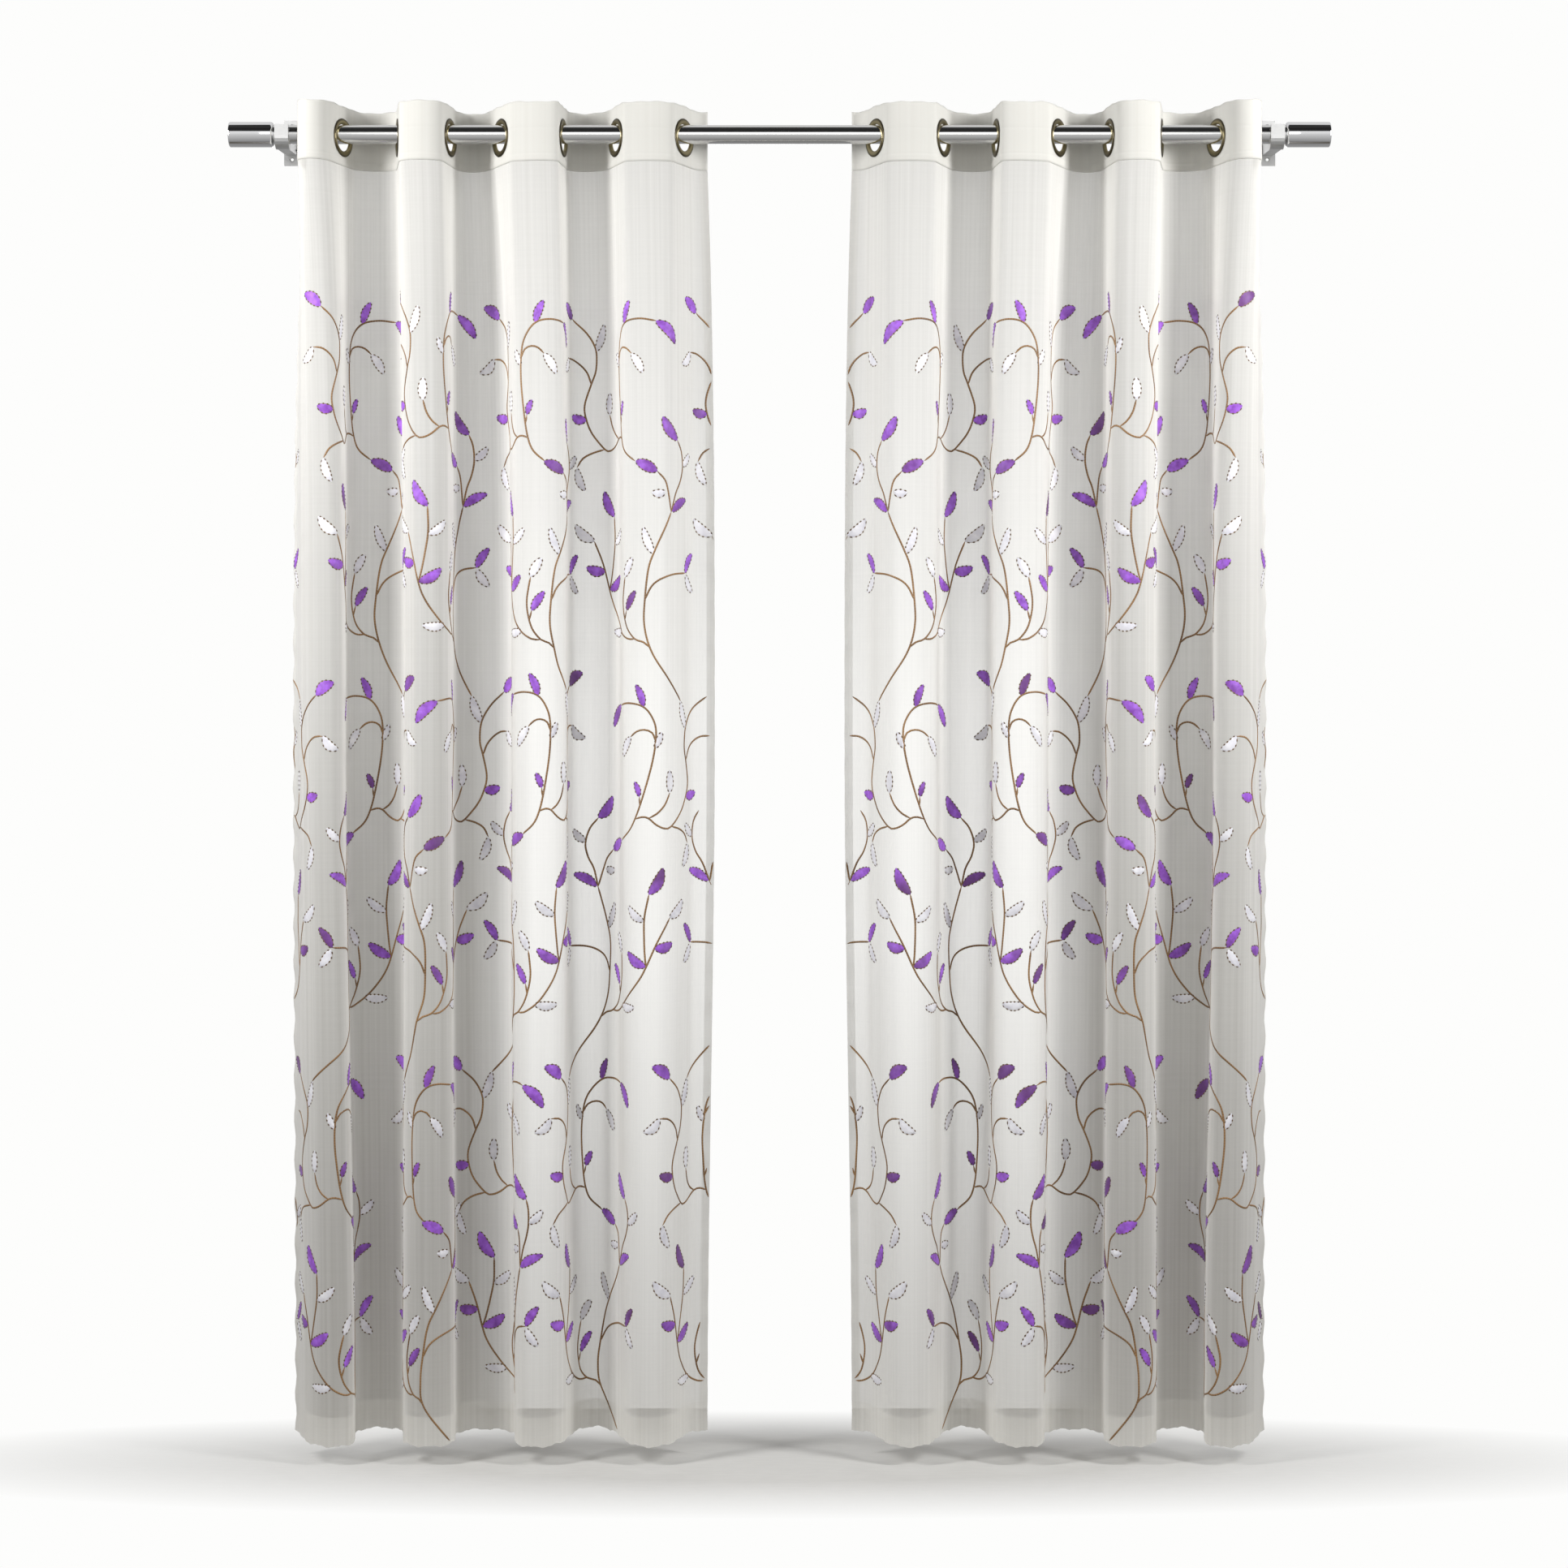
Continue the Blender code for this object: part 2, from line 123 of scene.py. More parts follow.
def grid_faces(rows, columns, round_rows=0, round_columns=0):
    """The quads of a grid that is numbered row by row. A round side closes on its own start."""
    index = np.arange(rows * columns).reshape(rows, columns)
    index = np.pad(index, ((0, round_rows), (0, round_columns)), "wrap")
    corners = index[:-1, :-1], index[:-1, 1:], index[1:, 1:], index[1:, :-1]
    return np.stack(corners, -1).reshape(-1, 4)


def piece(name, points, faces, uv, material):
    """A smooth mesh object from point, face and UV arrays. The UVs are given point by point."""
    mesh = bpy.data.meshes.new(name)
    mesh.from_pydata(np.asarray(points).tolist(), [], [tuple(face) for face in faces])
    layer = mesh.uv_layers.new(name="flat")
    corners = np.empty(len(mesh.loops), np.int32)
    mesh.loops.foreach_get("vertex_index", corners)
    layer.data.foreach_set("uv", np.asarray(uv, np.float32)[corners].ravel())
    mesh.shade_smooth()
    mesh.materials.append(material)
    thing = bpy.data.objects.new(name, mesh)
    bpy.context.scene.collection.objects.link(thing)
    return thing


print("faces of a grid of 3 by 4 points:", len(grid_faces(3, 4)))

# %% [markdown]
# ## The camera
# The photograph was taken square on, at the height of the curtain's middle. How far away doesn't
# show, so five metres are assumed. The camera comes first, so each piece can be looked at from
# where it will be judged.

# %% Camera
CAMERA_DISTANCE = 5.0
ROD_TO_WALL = 95 * MM
# The place in the middle of the picture, across and up, in metres, and the lens in mm.
VIEW_CENTRE = (0.007, -1.0415)
LENS = 71.57

camera = bpy.data.objects.new("camera", bpy.data.cameras.new("camera"))
bpy.context.scene.collection.objects.link(camera)
camera.location = (VIEW_CENTRE[0], -ROD_TO_WALL - CAMERA_DISTANCE, VIEW_CENTRE[1])
camera.rotation_euler = (math.pi / 2, 0, 0)
camera.data.lens = LENS
bpy.context.scene.camera = camera
print("camera height in metres:", round(camera.location.z, 3))

# %% [markdown]
# ## How the cloth hangs
# An eyelet curtain weaves in and out of its rod: it crosses the rod's line at each ring and folds
# to the front and to the back in between. The sizes and the fold table are those of the CAD part.
# A cloth simulation would settle into folds of its own, so the folds are drawn instead: seen from
# above, each is a smooth curve whose length is fixed, because cloth doesn't stretch.

# %% Sizes of the cloth
HEADING_TOP_Z = 45 * MM
HEADING_DEPTH = 95 * MM
CURTAIN_LENGTH = 2134 * MM
FIT_GAP = 0.3 * MM
PANEL_TOP_Z = HEADING_TOP_Z - HEADING_DEPTH - FIT_GAP
PANEL_LENGTH = CURTAIN_LENGTH - HEADING_DEPTH - FIT_GAP
print("panel length in mm:", round(PANEL_LENGTH / MM, 1))

# %% Fold table
EYELET_SPACING = 150 * MM
OUTER_MARGIN = 40 * MM
INNER_MARGIN = 60 * MM
# x is the distance from the middle of the pair in mm, turn the cloth's turn in degrees.
Crossing = namedtuple("Crossing", "top_x top_turn mid_x mid_turn hem_x hem_turn")
CROSSINGS = (
    Crossing(766, -2, 770, 18, 765, 20),
    Crossing(701, 21, 696, -8, 681, -10),
    Crossing(612, 10, 601, 2, 603, 0),
    Crossing(529, 12, 526, -6, 520, -6),
    Crossing(447, 29, 430, 2, 424, 0),
    Crossing(348, 8, 341, -6, 339, 14),
    Crossing(262, 24, 254, 18, 254, 20),
    Crossing(154, 27, 151, 25, 158, 21),
)
EYELET_PLACES = [OUTER_MARGIN + number * EYELET_SPACING for number in range(len(CROSSINGS))]
CLOTH_WIDTH = EYELET_PLACES[-1] + INNER_MARGIN
print("cloth width in mm:", round(CLOTH_WIDTH / MM))

# %% The cloth seen from above
# The cloth runs straight for this long on each side of a crossing: in the stiff heading, and below.
HEADING_FLAT = 31.5 * MM
CROSSING_FLAT = 8 * MM
# How far the loose edges turn, in degrees.
EdgeCurl = namedtuple("EdgeCurl", "top mid hem")
OUTER_CURL = EdgeCurl(10, 12, 12)
INNER_CURL = EdgeCurl(62, 75, 60)
# A fold's handle length is found by halving a range this often.
HALVINGS = 40
FOLD_POINTS = 60
FLAP_POINTS = 20


def direction(turn, to_room):
    """Unit step along the cloth, from the outer edge inwards, where it crosses the rod's line."""
    angle = math.radians(turn)
    return Vector((math.sin(angle), -math.cos(angle) if to_room else math.cos(angle)))


def link(start, start_step, end, end_step, length):
    """A smooth fold of a given cloth length between two crossings."""
    low, high = 0.0, 2 * length
    for _ in range(HALVINGS):
        handle = (low + high) / 2
        points = interpolate_bezier(
            start, start + start_step * handle, end - end_step * handle, end, FOLD_POINTS
        )
        if sum((b - a).length for a, b in zip(points, points[1:])) < length:
            low = handle
        else:
            high = handle
    return points


def flap(start, step, curl, length):
    """The loose edge past an end crossing, curling at an even rate."""
    points = [start]
    for number in range(FLAP_POINTS):
        angle = math.radians(curl) * (number + 0.5) / FLAP_POINTS
        points.append(points[-1] + Matrix.Rotation(-angle, 2) @ step * (length / FLAP_POINTS))
    return points


def plan_curve(level, flat):
    """The cloth from above at one level: cloth length, distance from the middle and depth."""
    places = [Vector((-getattr(row, f"{level}_x") * MM, 0)) for row in CROSSINGS]
    turns = [getattr(row, f"{level}_turn") for row in CROSSINGS]
    steps = [direction(turn, number % 2 == 0) for number, turn in enumerate(turns)]
    start = places[0] - steps[0] * flat
    curl = -getattr(OUTER_CURL, level)
    points = flap(start, -steps[0], curl, OUTER_MARGIN - flat)[::-1]
    for number in range(len(places) - 1):
        points += link(
            places[number] + steps[number] * flat,
            steps[number],
            places[number + 1] - steps[number + 1] * flat,
            steps[number + 1],
            EYELET_SPACING - 2 * flat,
        )
    end = places[-1] + steps[-1] * flat
    points += flap(end, steps[-1], getattr(INNER_CURL, level), INNER_MARGIN - flat)
    points = np.array(points)
    return along_path(points), points[:, 0], points[:, 1]


CURVES = {"top": plan_curve("top", HEADING_FLAT)}
CURVES.update({level: plan_curve(level, CROSSING_FLAT) for level in ("mid", "hem")})
print("curve lengths in mm:", {level: round(curve[0][-1] / MM) for level, curve in CURVES.items()})

# %% [markdown]
# ## Creases
# Between the big folds, light voile shows soft creases: long shallow troughs and ridges that run
# down from the rings, and puckers where the side hem is sewn. Each one is listed here, at its own
# place across the cloth, with its own lean, width and height, so they are as uneven as on the real
# cloth. They are real relief, a few millimetres at most, and not only shading.

# %% Creases placed one by one
# across and width in mm, lean in mm to the side over the whole drop, from and to as shares of the
# drop, height (minus for a trough) as a multiple of CREASE_RELIEF.
Crease = namedtuple("Crease", "across lean start end width height")
CREASES = (
    Crease(62, 14, 0.00, 0.62, 15, 1.5),
    Crease(84, -10, 0.35, 1.00, 13, -1.6),
    Crease(112, 18, 0.05, 0.55, 17, -1.2),
    Crease(150, -16, 0.55, 1.00, 15, 1.9),
    Crease(214, 9, 0.00, 0.48, 16, 1.4),
    Crease(243, -12, 0.40, 0.93, 19, -1.7),
    Crease(281, 10, 0.60, 1.00, 14, 1.6),
    Crease(352, -8, 0.00, 0.42, 12, 1.7),
    Crease(379, 6, 0.00, 1.00, 11, -1.4),
    Crease(404, -6, 0.10, 0.86, 10, 1.3),
    Crease(431, 13, 0.45, 1.00, 15, -1.5),
    Crease(511, -14, 0.00, 0.66, 18, 1.6),
    Crease(548, 7, 0.30, 1.00, 16, -1.8),
    Crease(583, 12, 0.00, 0.40, 13, 1.2),
    Crease(662, -9, 0.00, 0.58, 15, -1.5),
    Crease(698, 15, 0.20, 0.90, 17, 1.8),
    Crease(731, -7, 0.55, 1.00, 12, -1.6),
    Crease(815, 11, 0.00, 0.52, 16, 1.4),
    Crease(858, -13, 0.38, 1.00, 18, -1.7),
    Crease(893, 8, 0.62, 1.00, 14, 1.9),
    Crease(962, -10, 0.00, 0.60, 15, 1.6),
    Crease(1003, 12, 0.15, 1.00, 17, -1.5),
    Crease(1046, -26, 0.00, 0.55, 14, 1.9),
    Crease(1088, 16, 0.42, 1.00, 13, 1.5),
)
print("creases placed:", len(CREASES))

# %% Relief of creases and puckers
CREASE_RELIEF = 1.4 * MM
# Under 1, this keeps a crease at nearly its full height until close to its ends.
CREASE_FADE = 0.7
PUCKER_PITCH = 61 * MM
PUCKER_REACH = 17 * MM
PUCKER_HEIGHT = 1.5 * MM
# The puckers' beat drifts by this angle to and fro, in radians, over this drop.
PUCKER_SWAY = 1.7
PUCKER_DRIFT = 170 * MM
# They grow to their full height over this share of the drop.
PUCKER_START = 1 / 6


def relief(across, drop):
    """How far the cloth stands proud of its big folds, towards the room."""
    share = np.clip(drop / PANEL_LENGTH, 0, 1)
    height = np.zeros_like(share)
    for crease in CREASES:
        middle = (crease.across + crease.lean * share) * MM
        along = np.clip((share - crease.start) / (crease.end - crease.start), 0, 1)
        fade = np.sin(math.pi * along) ** CREASE_FADE
        near = np.exp(-(((across - middle) / crease.width / MM) ** 2))
        height += crease.height * CREASE_RELIEF * fade * near
    drift = PUCKER_SWAY * np.sin(drop / PUCKER_DRIFT)
    beat = np.sin(2 * math.pi * drop / PUCKER_PITCH + drift)
    for edge in (0, CLOTH_WIDTH):
        near = np.exp(-(((across - edge) / PUCKER_REACH) ** 2))
        height += PUCKER_HEIGHT * beat * near * np.minimum(1, share / PUCKER_START)
    return height


print("puckers down each side:", round(PANEL_LENGTH / PUCKER_PITCH))

# %% From flat cloth to folds
# The middle curve lies this far down the panel, as a share of its drop.
MID_HEIGHT_SHARE = 0.45
# By this much the front folds end lower, and the back ones higher, than the cloth's middle.
HEM_SWING = 5.5 * MM
HEM_RIPPLE = 1.3 * MM
HEM_RIPPLE_REACH = 34 * MM
HEM_RIPPLE_PITCHES = (41 * MM, 17 * MM, 9 * MM)
# The swing is given for a fold that stands this far out.
FOLD_DEPTH = 55 * MM


def folded(across, drop, side):
    """The big folds alone: where a place on the flat cloth below the heading hangs."""
    share = np.clip(drop / PANEL_LENGTH, 0, 1)
    upper = 1 - (1 - np.minimum(share / MID_HEIGHT_SHARE, 1)) ** 3
    part = np.clip((share - MID_HEIGHT_SHARE) / (1 - MID_HEIGHT_SHARE), 0, 1)
    lower = part * part * (3 - 2 * part)
    top, mid, hem = [
        np.array([np.interp(across, lengths, way) for way in (x, y)])
        for lengths, x, y in CURVES.values()
    ]
    x, y = top + (mid - top) * upper + (hem - mid) * lower
    swing = HEM_SWING * share * y / FOLD_DEPTH
    near_hem = np.clip(1 - (PANEL_LENGTH - drop) / HEM_RIPPLE_REACH, 0, 1)
    waves = sum(
        np.sin(2 * math.pi * across / pitch + number) / (1 + number)
        for number, pitch in enumerate(HEM_RIPPLE_PITCHES)
    )
    swing = swing + HEM_RIPPLE * near_hem**2 * waves
    return np.stack((x * -side, y - ROD_TO_WALL, PANEL_TOP_Z - drop + swing), -1)


def to_room(across, drop, side):
    """Unit normals of the folds, on the side that faces the room."""
    step = 2 * MM
    low, high = np.maximum(across - step, 0), np.minimum(across + step, CLOTH_WIDTH)
    over = folded(high, drop, side) - folded(low, drop, side)
    down = folded(across, drop + step, side) - folded(across, drop - step, side)
    normal = side * np.cross(over, down)
    return normal / np.linalg.norm(normal, axis=-1, keepdims=True)


def on_cloth(across, drop, side, proud=0.0):
    """Where flat places hang, on the creased cloth, and their normals."""
    across, drop = np.broadcast_arrays(np.asarray(across, float), np.asarray(drop, float))
    normal = to_room(across, drop, side)
    height = relief(across, drop) + proud
    return folded(across, drop, side) + normal * height[..., None], normal


corner = on_cloth([0], [PANEL_LENGTH], SIDES["left"])[0][0]
print("left panel's outer lower corner in metres:", corner.round(3))

# %% [markdown]
# ## Voile
# Voile is a plain weave of fine, hard-twisted yarn with open gaps between the threads, so part of
# the light goes straight through. Seen at a slant the threads close up, which is why a voile
# curtain is whiter at the edges of its folds. The look is a mix of a see-through share and a thin
# white cloth that both scatters light back and lets some through its yarns. A real voile has about
# three threads a millimetre, too fine to show here, so the threads are drawn 1.3 mm apart.

# %% Voile material
THREAD_PITCH = 1.3 * MM
# Blender's wave texture repeats each 2 pi / 20 of its coordinate, divided by its scale.
WAVE_UNIT = 2 * math.pi / 20
# How often the yarn's tone changes in a metre across and down: long streaks, and short slubs.
STREAKS = (130, 0.9, 1)
SLUBS = (2, 260, 1)
SLUB_SHARE = 0.25
THREAD_SHARE = 0.22
# Thick and thin yarns change the open share by this much either way.
OPEN_SPREAD = 0.12
# However flat the view, the cloth is taken to be seen at no less than this cosine.
LEAST_COSINE = 0.18


def sheer_cloth(name, colour, shade, open_share, translucent_share, bump):
    """Thin woven cloth: see-through gaps between yarns that scatter and pass light."""
    material = new_material(name)
    flat = add(material, "UVMap", uv_map="flat")
    warp, weft = [
        add(
            material, "TexWave", {"Vector": flat}, wave_type="BANDS", bands_direction=way,
            Scale=WAVE_UNIT / THREAD_PITCH, Distortion=0.6, Detail=1.0, Detail_Scale=0.4,
        ).outputs["Fac"]
        for way in ("X", "Y")
    ]
    both = add(material, "Math", {0: warp, 1: weft}, operation="ADD")
    threads = add(material, "Math", {0: both, 1: 0.5}, operation="MULTIPLY")
    uneven, slubs = [
        add(
            material, "TexNoise", {"Vector": add(material, "Mapping", {"Vector": flat}, Scale=scale)},
            Scale=1.0, Detail=3.0, Roughness=0.55,
        )
        for scale in (STREAKS, SLUBS)
    ]
    shown = add(
        material, "Mix", {"Factor": uneven, FIRST: linear(shade), SECOND: linear(colour)},
        data_type="RGBA",
    ).outputs[MIXED]
    raised = add(material, "Bump", {"Height": threads}, Strength=bump, Distance=0.1 * MM)
    cloth = add(
        material, "BsdfPrincipled", {"Base Color": shown, "Normal": raised},
        Roughness=0.85, Sheen_Weight=0.2, Sheen_Roughness=0.45,
    )
    through = add(material, "BsdfTranslucent", {"Color": shown, "Normal": raised})
    yarns = add(material, "MixShader", {"Fac": translucent_share, 1: cloth, 2: through})
    # Gaps shrink as the cloth turns away: what passes is the open share to the power 1 / cosine.
    facing = add(material, "LayerWeight", Blend=0.5).outputs["Facing"]
    square_on = add(material, "Math", {0: 1.0, 1: facing}, operation="SUBTRACT")
    cosine = add(material, "Math", {0: square_on, 1: LEAST_COSINE}, operation="MAXIMUM")
    power = add(material, "Math", {0: 1.0, 1: cosine}, operation="DIVIDE")
    slubby = add(material, "Math", {0: slubs, 1: SLUB_SHARE, 2: uneven}, operation="MULTIPLY_ADD")
    tone = add(material, "Math", {0: threads, 1: THREAD_SHARE, 2: slubby}, operation="MULTIPLY_ADD")
    gaps = add(
        material, "MapRange", {"Value": tone}, From_Min=0.45, From_Max=1.05,
        To_Min=open_share * (1 + OPEN_SPREAD), To_Max=open_share * (1 - OPEN_SPREAD),
    )
    passed = add(material, "Math", {0: gaps, 1: power}, operation="POWER")
    clear = add(material, "BsdfTransparent")
    whole = add(material, "MixShader", {"Fac": passed, 1: yarns, 2: clear})
    add(material, "OutputMaterial", {"Surface": whole})
    return material


voile = sheer_cloth("woven_polyester_voile", "#f8f7f4", "#ebe9e3", 0.45, 0.35, 0.3)
print("threads drawn in a metre of voile:", round(1 / THREAD_PITCH))

# %% [markdown]
# ## The two voile panels
# Each panel is one width of voile. Its sides are turned over 13 mm and its lower edge 46 mm, and
# both are sewn down. A turned hem is a second layer of the same cloth just behind the first, so
# that is how it is made: the see-through cloth then looks denser there all by itself.

# %% Panel meshes
COLUMN_STEP = 5 * MM
ROW_STEP = 12.5 * MM
SIDE_HEM = 13 * MM
HEM_DEPTH = 46 * MM
LAYER_GAP = 0.7 * MM


def layer(across, drop, side, behind):
    """A grid of cloth: its points, faces and flat places."""
    flat_across, flat_drop = np.meshgrid(across, drop)
    points, _ = on_cloth(flat_across, flat_drop, side, -behind)
    uv = np.stack((flat_across, -flat_drop), -1).reshape(-1, 2)
    return points.reshape(-1, 3), grid_faces(len(drop), len(across)), uv


def joined(parts):
    """Several (points, faces, uv) as one."""
    starts = np.cumsum([0] + [len(points) for points, _, _ in parts])
    points = np.concatenate([part[0] for part in parts])
    faces = np.concatenate([part[1] + start for part, start in zip(parts, starts)])
    return points, faces, np.concatenate([part[2] for part in parts])


def steps(start, end, step):
    """Even places from start to end, about a step apart."""
    return np.linspace(start, end, max(2, round((end - start) / step) + 1))


panels = {}
for word, side in SIDES.items():
    across = steps(0, CLOTH_WIDTH, COLUMN_STEP)
    drop = steps(0, PANEL_LENGTH, ROW_STEP)
    hem_across = steps(SIDE_HEM, CLOTH_WIDTH - SIDE_HEM, COLUMN_STEP)
    layers = [
        layer(across, drop, side, 0),
        layer(steps(0, SIDE_HEM, SIDE_HEM / 3), drop, side, LAYER_GAP),
        layer(steps(CLOTH_WIDTH - SIDE_HEM, CLOTH_WIDTH, SIDE_HEM / 3), drop, side, LAYER_GAP),
        layer(hem_across, steps(PANEL_LENGTH - HEM_DEPTH, PANEL_LENGTH, ROW_STEP), side, LAYER_GAP),
    ]
    panels[word] = piece(f"voile_panel_{word}", *joined(layers), voile)
    print(word, "panel faces:", len(panels[word].data.polygons))

# %% [markdown]
# ## The heading bands
# Along the top the voile is doubled over a stiff tape, 95 mm deep, so it looks like dense white
# cloth and stays flat at each ring. It is made as one sheet with round holes and then thickened.
# The holes are cut in the grid itself: points inside a hole move out to its edge, and faces whose
# corners all moved are left out. A Boolean would do it too, but would leave long thin faces.

# %% Heading material and shape
# Two rows of machine stitches press the heading in: one halfway down and one above its lower fold.
SEAM_DROPS = (42 * MM, 83 * MM)
SEAM_HALF_WIDTH = 1.6 * MM
SEAM_DEPTH = 0.2 * MM
LOWER_FOLD_PROUD = 0.2 * MM
# The upper edge is turned over by hand, so it runs a little uneven.
TOP_EDGE_RIPPLE = 1.6 * MM
TOP_EDGE_PITCHES = (151 * MM, 67 * MM, 31 * MM)

heading_cloth = sheer_cloth("doubled_voile_over_stiff_tape", "#e6e5e0", "#dcdad3", 0.05, 0.2, 0.35)


def heading_points(across, drop, side):
    """The heading from above is the top curve at every height, pressed in along its seams."""
    lengths, x, y = CURVES["top"]
    plan_x, plan_y, along_x, along_y = [
        np.interp(across, lengths, way) for way in (x, y, np.gradient(x), np.gradient(y))
    ]
    size = np.hypot(along_x, along_y)
    proud = LOWER_FOLD_PROUD * np.clip((drop - SEAM_DROPS[1]) / SEAM_HALF_WIDTH, 0, 1)
    for seam in SEAM_DROPS:
        proud = proud - SEAM_DEPTH * np.clip(1 - np.abs(drop - seam) / SEAM_HALF_WIDTH, 0, 1)
    plan_x, plan_y = plan_x + proud * along_y / size, plan_y - proud * along_x / size
    ripple = np.mean([np.sin(2 * math.pi * across / pitch) for pitch in TOP_EDGE_PITCHES], axis=0)
    lift = TOP_EDGE_RIPPLE * ripple * np.clip(1 - drop / HEADING_DEPTH, 0, 1) ** 2
    return np.stack((plan_x * -side, plan_y - ROD_TO_WALL, HEADING_TOP_Z - drop + lift), -1)


print("heading's flat area in square metres:", round(CLOTH_WIDTH * HEADING_DEPTH, 4))

# %% Holes and bands
HEADING_STEP = 4 * MM
HOLE_RADIUS = 26.5 * MM
EYELET_CENTRE_Z = -5.2 * MM
HEADING_THICKNESS = 1.6 * MM


def holed_grid():
    """The flat heading as a grid with a round hole at each eyelet."""
    seams = [seam + near for seam in SEAM_DROPS for near in (-SEAM_HALF_WIDTH, 0, SEAM_HALF_WIDTH)]
    plain = [
        drop for drop in steps(0, HEADING_DEPTH, HEADING_STEP)
        if min(abs(drop - seam) for seam in seams) > HEADING_STEP / 3
    ]
    across, drop = np.meshgrid(steps(0, CLOTH_WIDTH, HEADING_STEP), sorted([*plain, *seams]))
    faces = grid_faces(*across.shape)
    across, drop = across.ravel(), drop.ravel()
    moved = np.zeros(len(across), bool)
    centre_drop = HEADING_TOP_Z - EYELET_CENTRE_Z
    for place in EYELET_PLACES:
        out = np.hypot(across - place, drop - centre_drop)
        inside = out < HOLE_RADIUS
        stretch = HOLE_RADIUS / np.maximum(out[inside], 0.1 * MM)
        across[inside] = place + (across[inside] - place) * stretch
        drop[inside] = centre_drop + (drop[inside] - centre_drop) * stretch
        moved |= inside
    faces = faces[~moved[faces].all(axis=1)]
    kept, numbered = np.unique(faces, return_inverse=True)
    return across[kept], drop[kept], numbered.reshape(faces.shape)


headings = {}
for word, side in SIDES.items():
    across, drop, faces = holed_grid()
    uv = np.stack((across, -drop), -1)
    points = heading_points(across, drop, side)
    headings[word] = piece(f"heading_band_{word}", points, faces, uv, heading_cloth)
    thicken = headings[word].modifiers.new("two layers", "SOLIDIFY")
    thicken.thickness = HEADING_THICKNESS
    thicken.offset = 0
    print(word, "heading faces:", len(faces))

# %% [markdown]
# ## Embroidery chart
# Each repeat is one branching vine. It is charted here on the flat cloth, in millimetres from the
# fork at the foot of its trunk: across towards the middle of the pair, and up. Stems are smooth
# curves through a few points. Leaves are given by their two ends, width and bend. The next row down
# is the mirror image of this one.

# %% Stems and leaves of one repeat
# Each stem is its points as (across, up) in mm.
STEMS = (
    ((82, -97), (33, -45), (0, 0), (-8, 38), (-6, 76), (1, 125), (13, 156), (42, 216)),
    ((42, 216), (54, 246), (67, 266), (75, 289), (72, 314), (61, 331)),
    ((42, 216), (37, 247), (32, 266), (20, 280)),
    ((-16, 297), (-36, 313), (-46, 334), (-53, 370), (-59, 428), (-57, 474), (-47, 500),
     (-29, 518), (-3, 523), (26, 519)),
    ((-59, 460), (-51, 475), (-38, 480), (-26, 477), (-16, 468)),
    ((-46, 334), (-57, 338), (-68, 336), (-82, 325), (-96, 319), (-107, 322), (-126, 346),
     (-135, 370), (-137, 394), (-126, 428), (-118, 450), (-116, 478), (-121, 496), (-133, 515),
     (-153, 533)),
    ((-107, 322), (-126, 317), (-142, 308), (-152, 293)),
    ((-68, 336), (-79, 343), (-89, 357), (-95, 377)),
    ((-126, 428), (-131, 446), (-141, 459), (-154, 467), (-168, 468)),
    ((-6, 76), (5, 97), (20, 109), (44, 117), (78, 120)),
    ((0, 0), (-10, 9), (-24, 14), (-39, 31), (-47, 55), (-49, 75), (-46, 95), (-42, 113)),
    ((-24, 14), (-40, 15), (-62, 28), (-82, 50), (-96, 72), (-104, 94), (-115, 135), (-129, 173)),
    ((-104, 94), (-99, 112), (-92, 147), (-88, 176), (-89, 212)),
    ((-45, 43), (-40, 60)),
    ((-50, 358), (-48, 371)),
)
# One row for each leaf: its kind, its foot, its tip, its width and its bend to the side, in mm.
Leaf = namedtuple("Leaf", "kind foot tip width bend")
LEAVES = (
    Leaf("purple", (-153, 533), (-184, 554), 19, -3),
    Leaf("purple", (-31, 517), (-17, 553), 13, 2),
    Leaf("purple", (26, 519), (61, 484), 18, 5),
    Leaf("purple", (-135, 370), (-163, 375), 16, 2),
    Leaf("purple", (-48, 371), (-39, 395), 10, 1),
    Leaf("purple", (20, 280), (-16, 297), 18, -1),
    Leaf("purple", (61, 331), (30, 367), 19, 4),
    Leaf("purple", (44, 217), (84, 238), 15, 3),
    Leaf("purple", (78, 120), (100, 152), 14, 2),
    Leaf("purple", (-40, 60), (-20, 91), 13, 1),
    Leaf("purple", (-89, 212), (-113, 254), 18, 4),
    Leaf("purple", (-103, 94), (-66, 116), 17, -3),
    Leaf("purple", (-112, 124), (-145, 131), 17, 3),
    Leaf("white", (-116, 482), (-101, 525), 14, -2),
    Leaf("white", (-168, 468), (-195, 446), 15, 5),
    Leaf("white", (-59, 450), (-70, 476), 10, 1),
    Leaf("white", (-16, 468), (4, 436), 14, 2),
    Leaf("white", (-95, 377), (-94, 413), 14, 1),
    Leaf("white", (-153, 292), (-139, 255), 14, -3),
    Leaf("white", (32, 247), (10, 246), 13, 2),
    Leaf("white", (75, 291), (98, 312), 13, -2),
    Leaf("white", (10, 149), (-7, 192), 13, 2),
    Leaf("white", (80, 117), (100, 89), 14, -2),
    Leaf("white", (-42, 113), (-24, 144), 14, 1),
    Leaf("white", (-60, 28), (-98, 27), 14, 3),
    Leaf("white", (-88, 168), (-57, 191), 14, -3),
    Leaf("white", (-129, 173), (-162, 200), 17, 4),
)
ROOT_LEAF = next(leaf for leaf in LEAVES if leaf.tip == (-101, 525))
# One row for each vine: where its fork lies across, in mm, how much lower it sits, its lean to the
# inner side over 500 mm of height, its spread on the outer side, the inner side and upwards, and
# whether a trunk grows up to its fork from the row below.
LEAN_HEIGHT = 500
Vine = namedtuple("Vine", "place lower lean outer inner rise trunk",
                  defaults=(0, 0, 1, 1, 1, True))
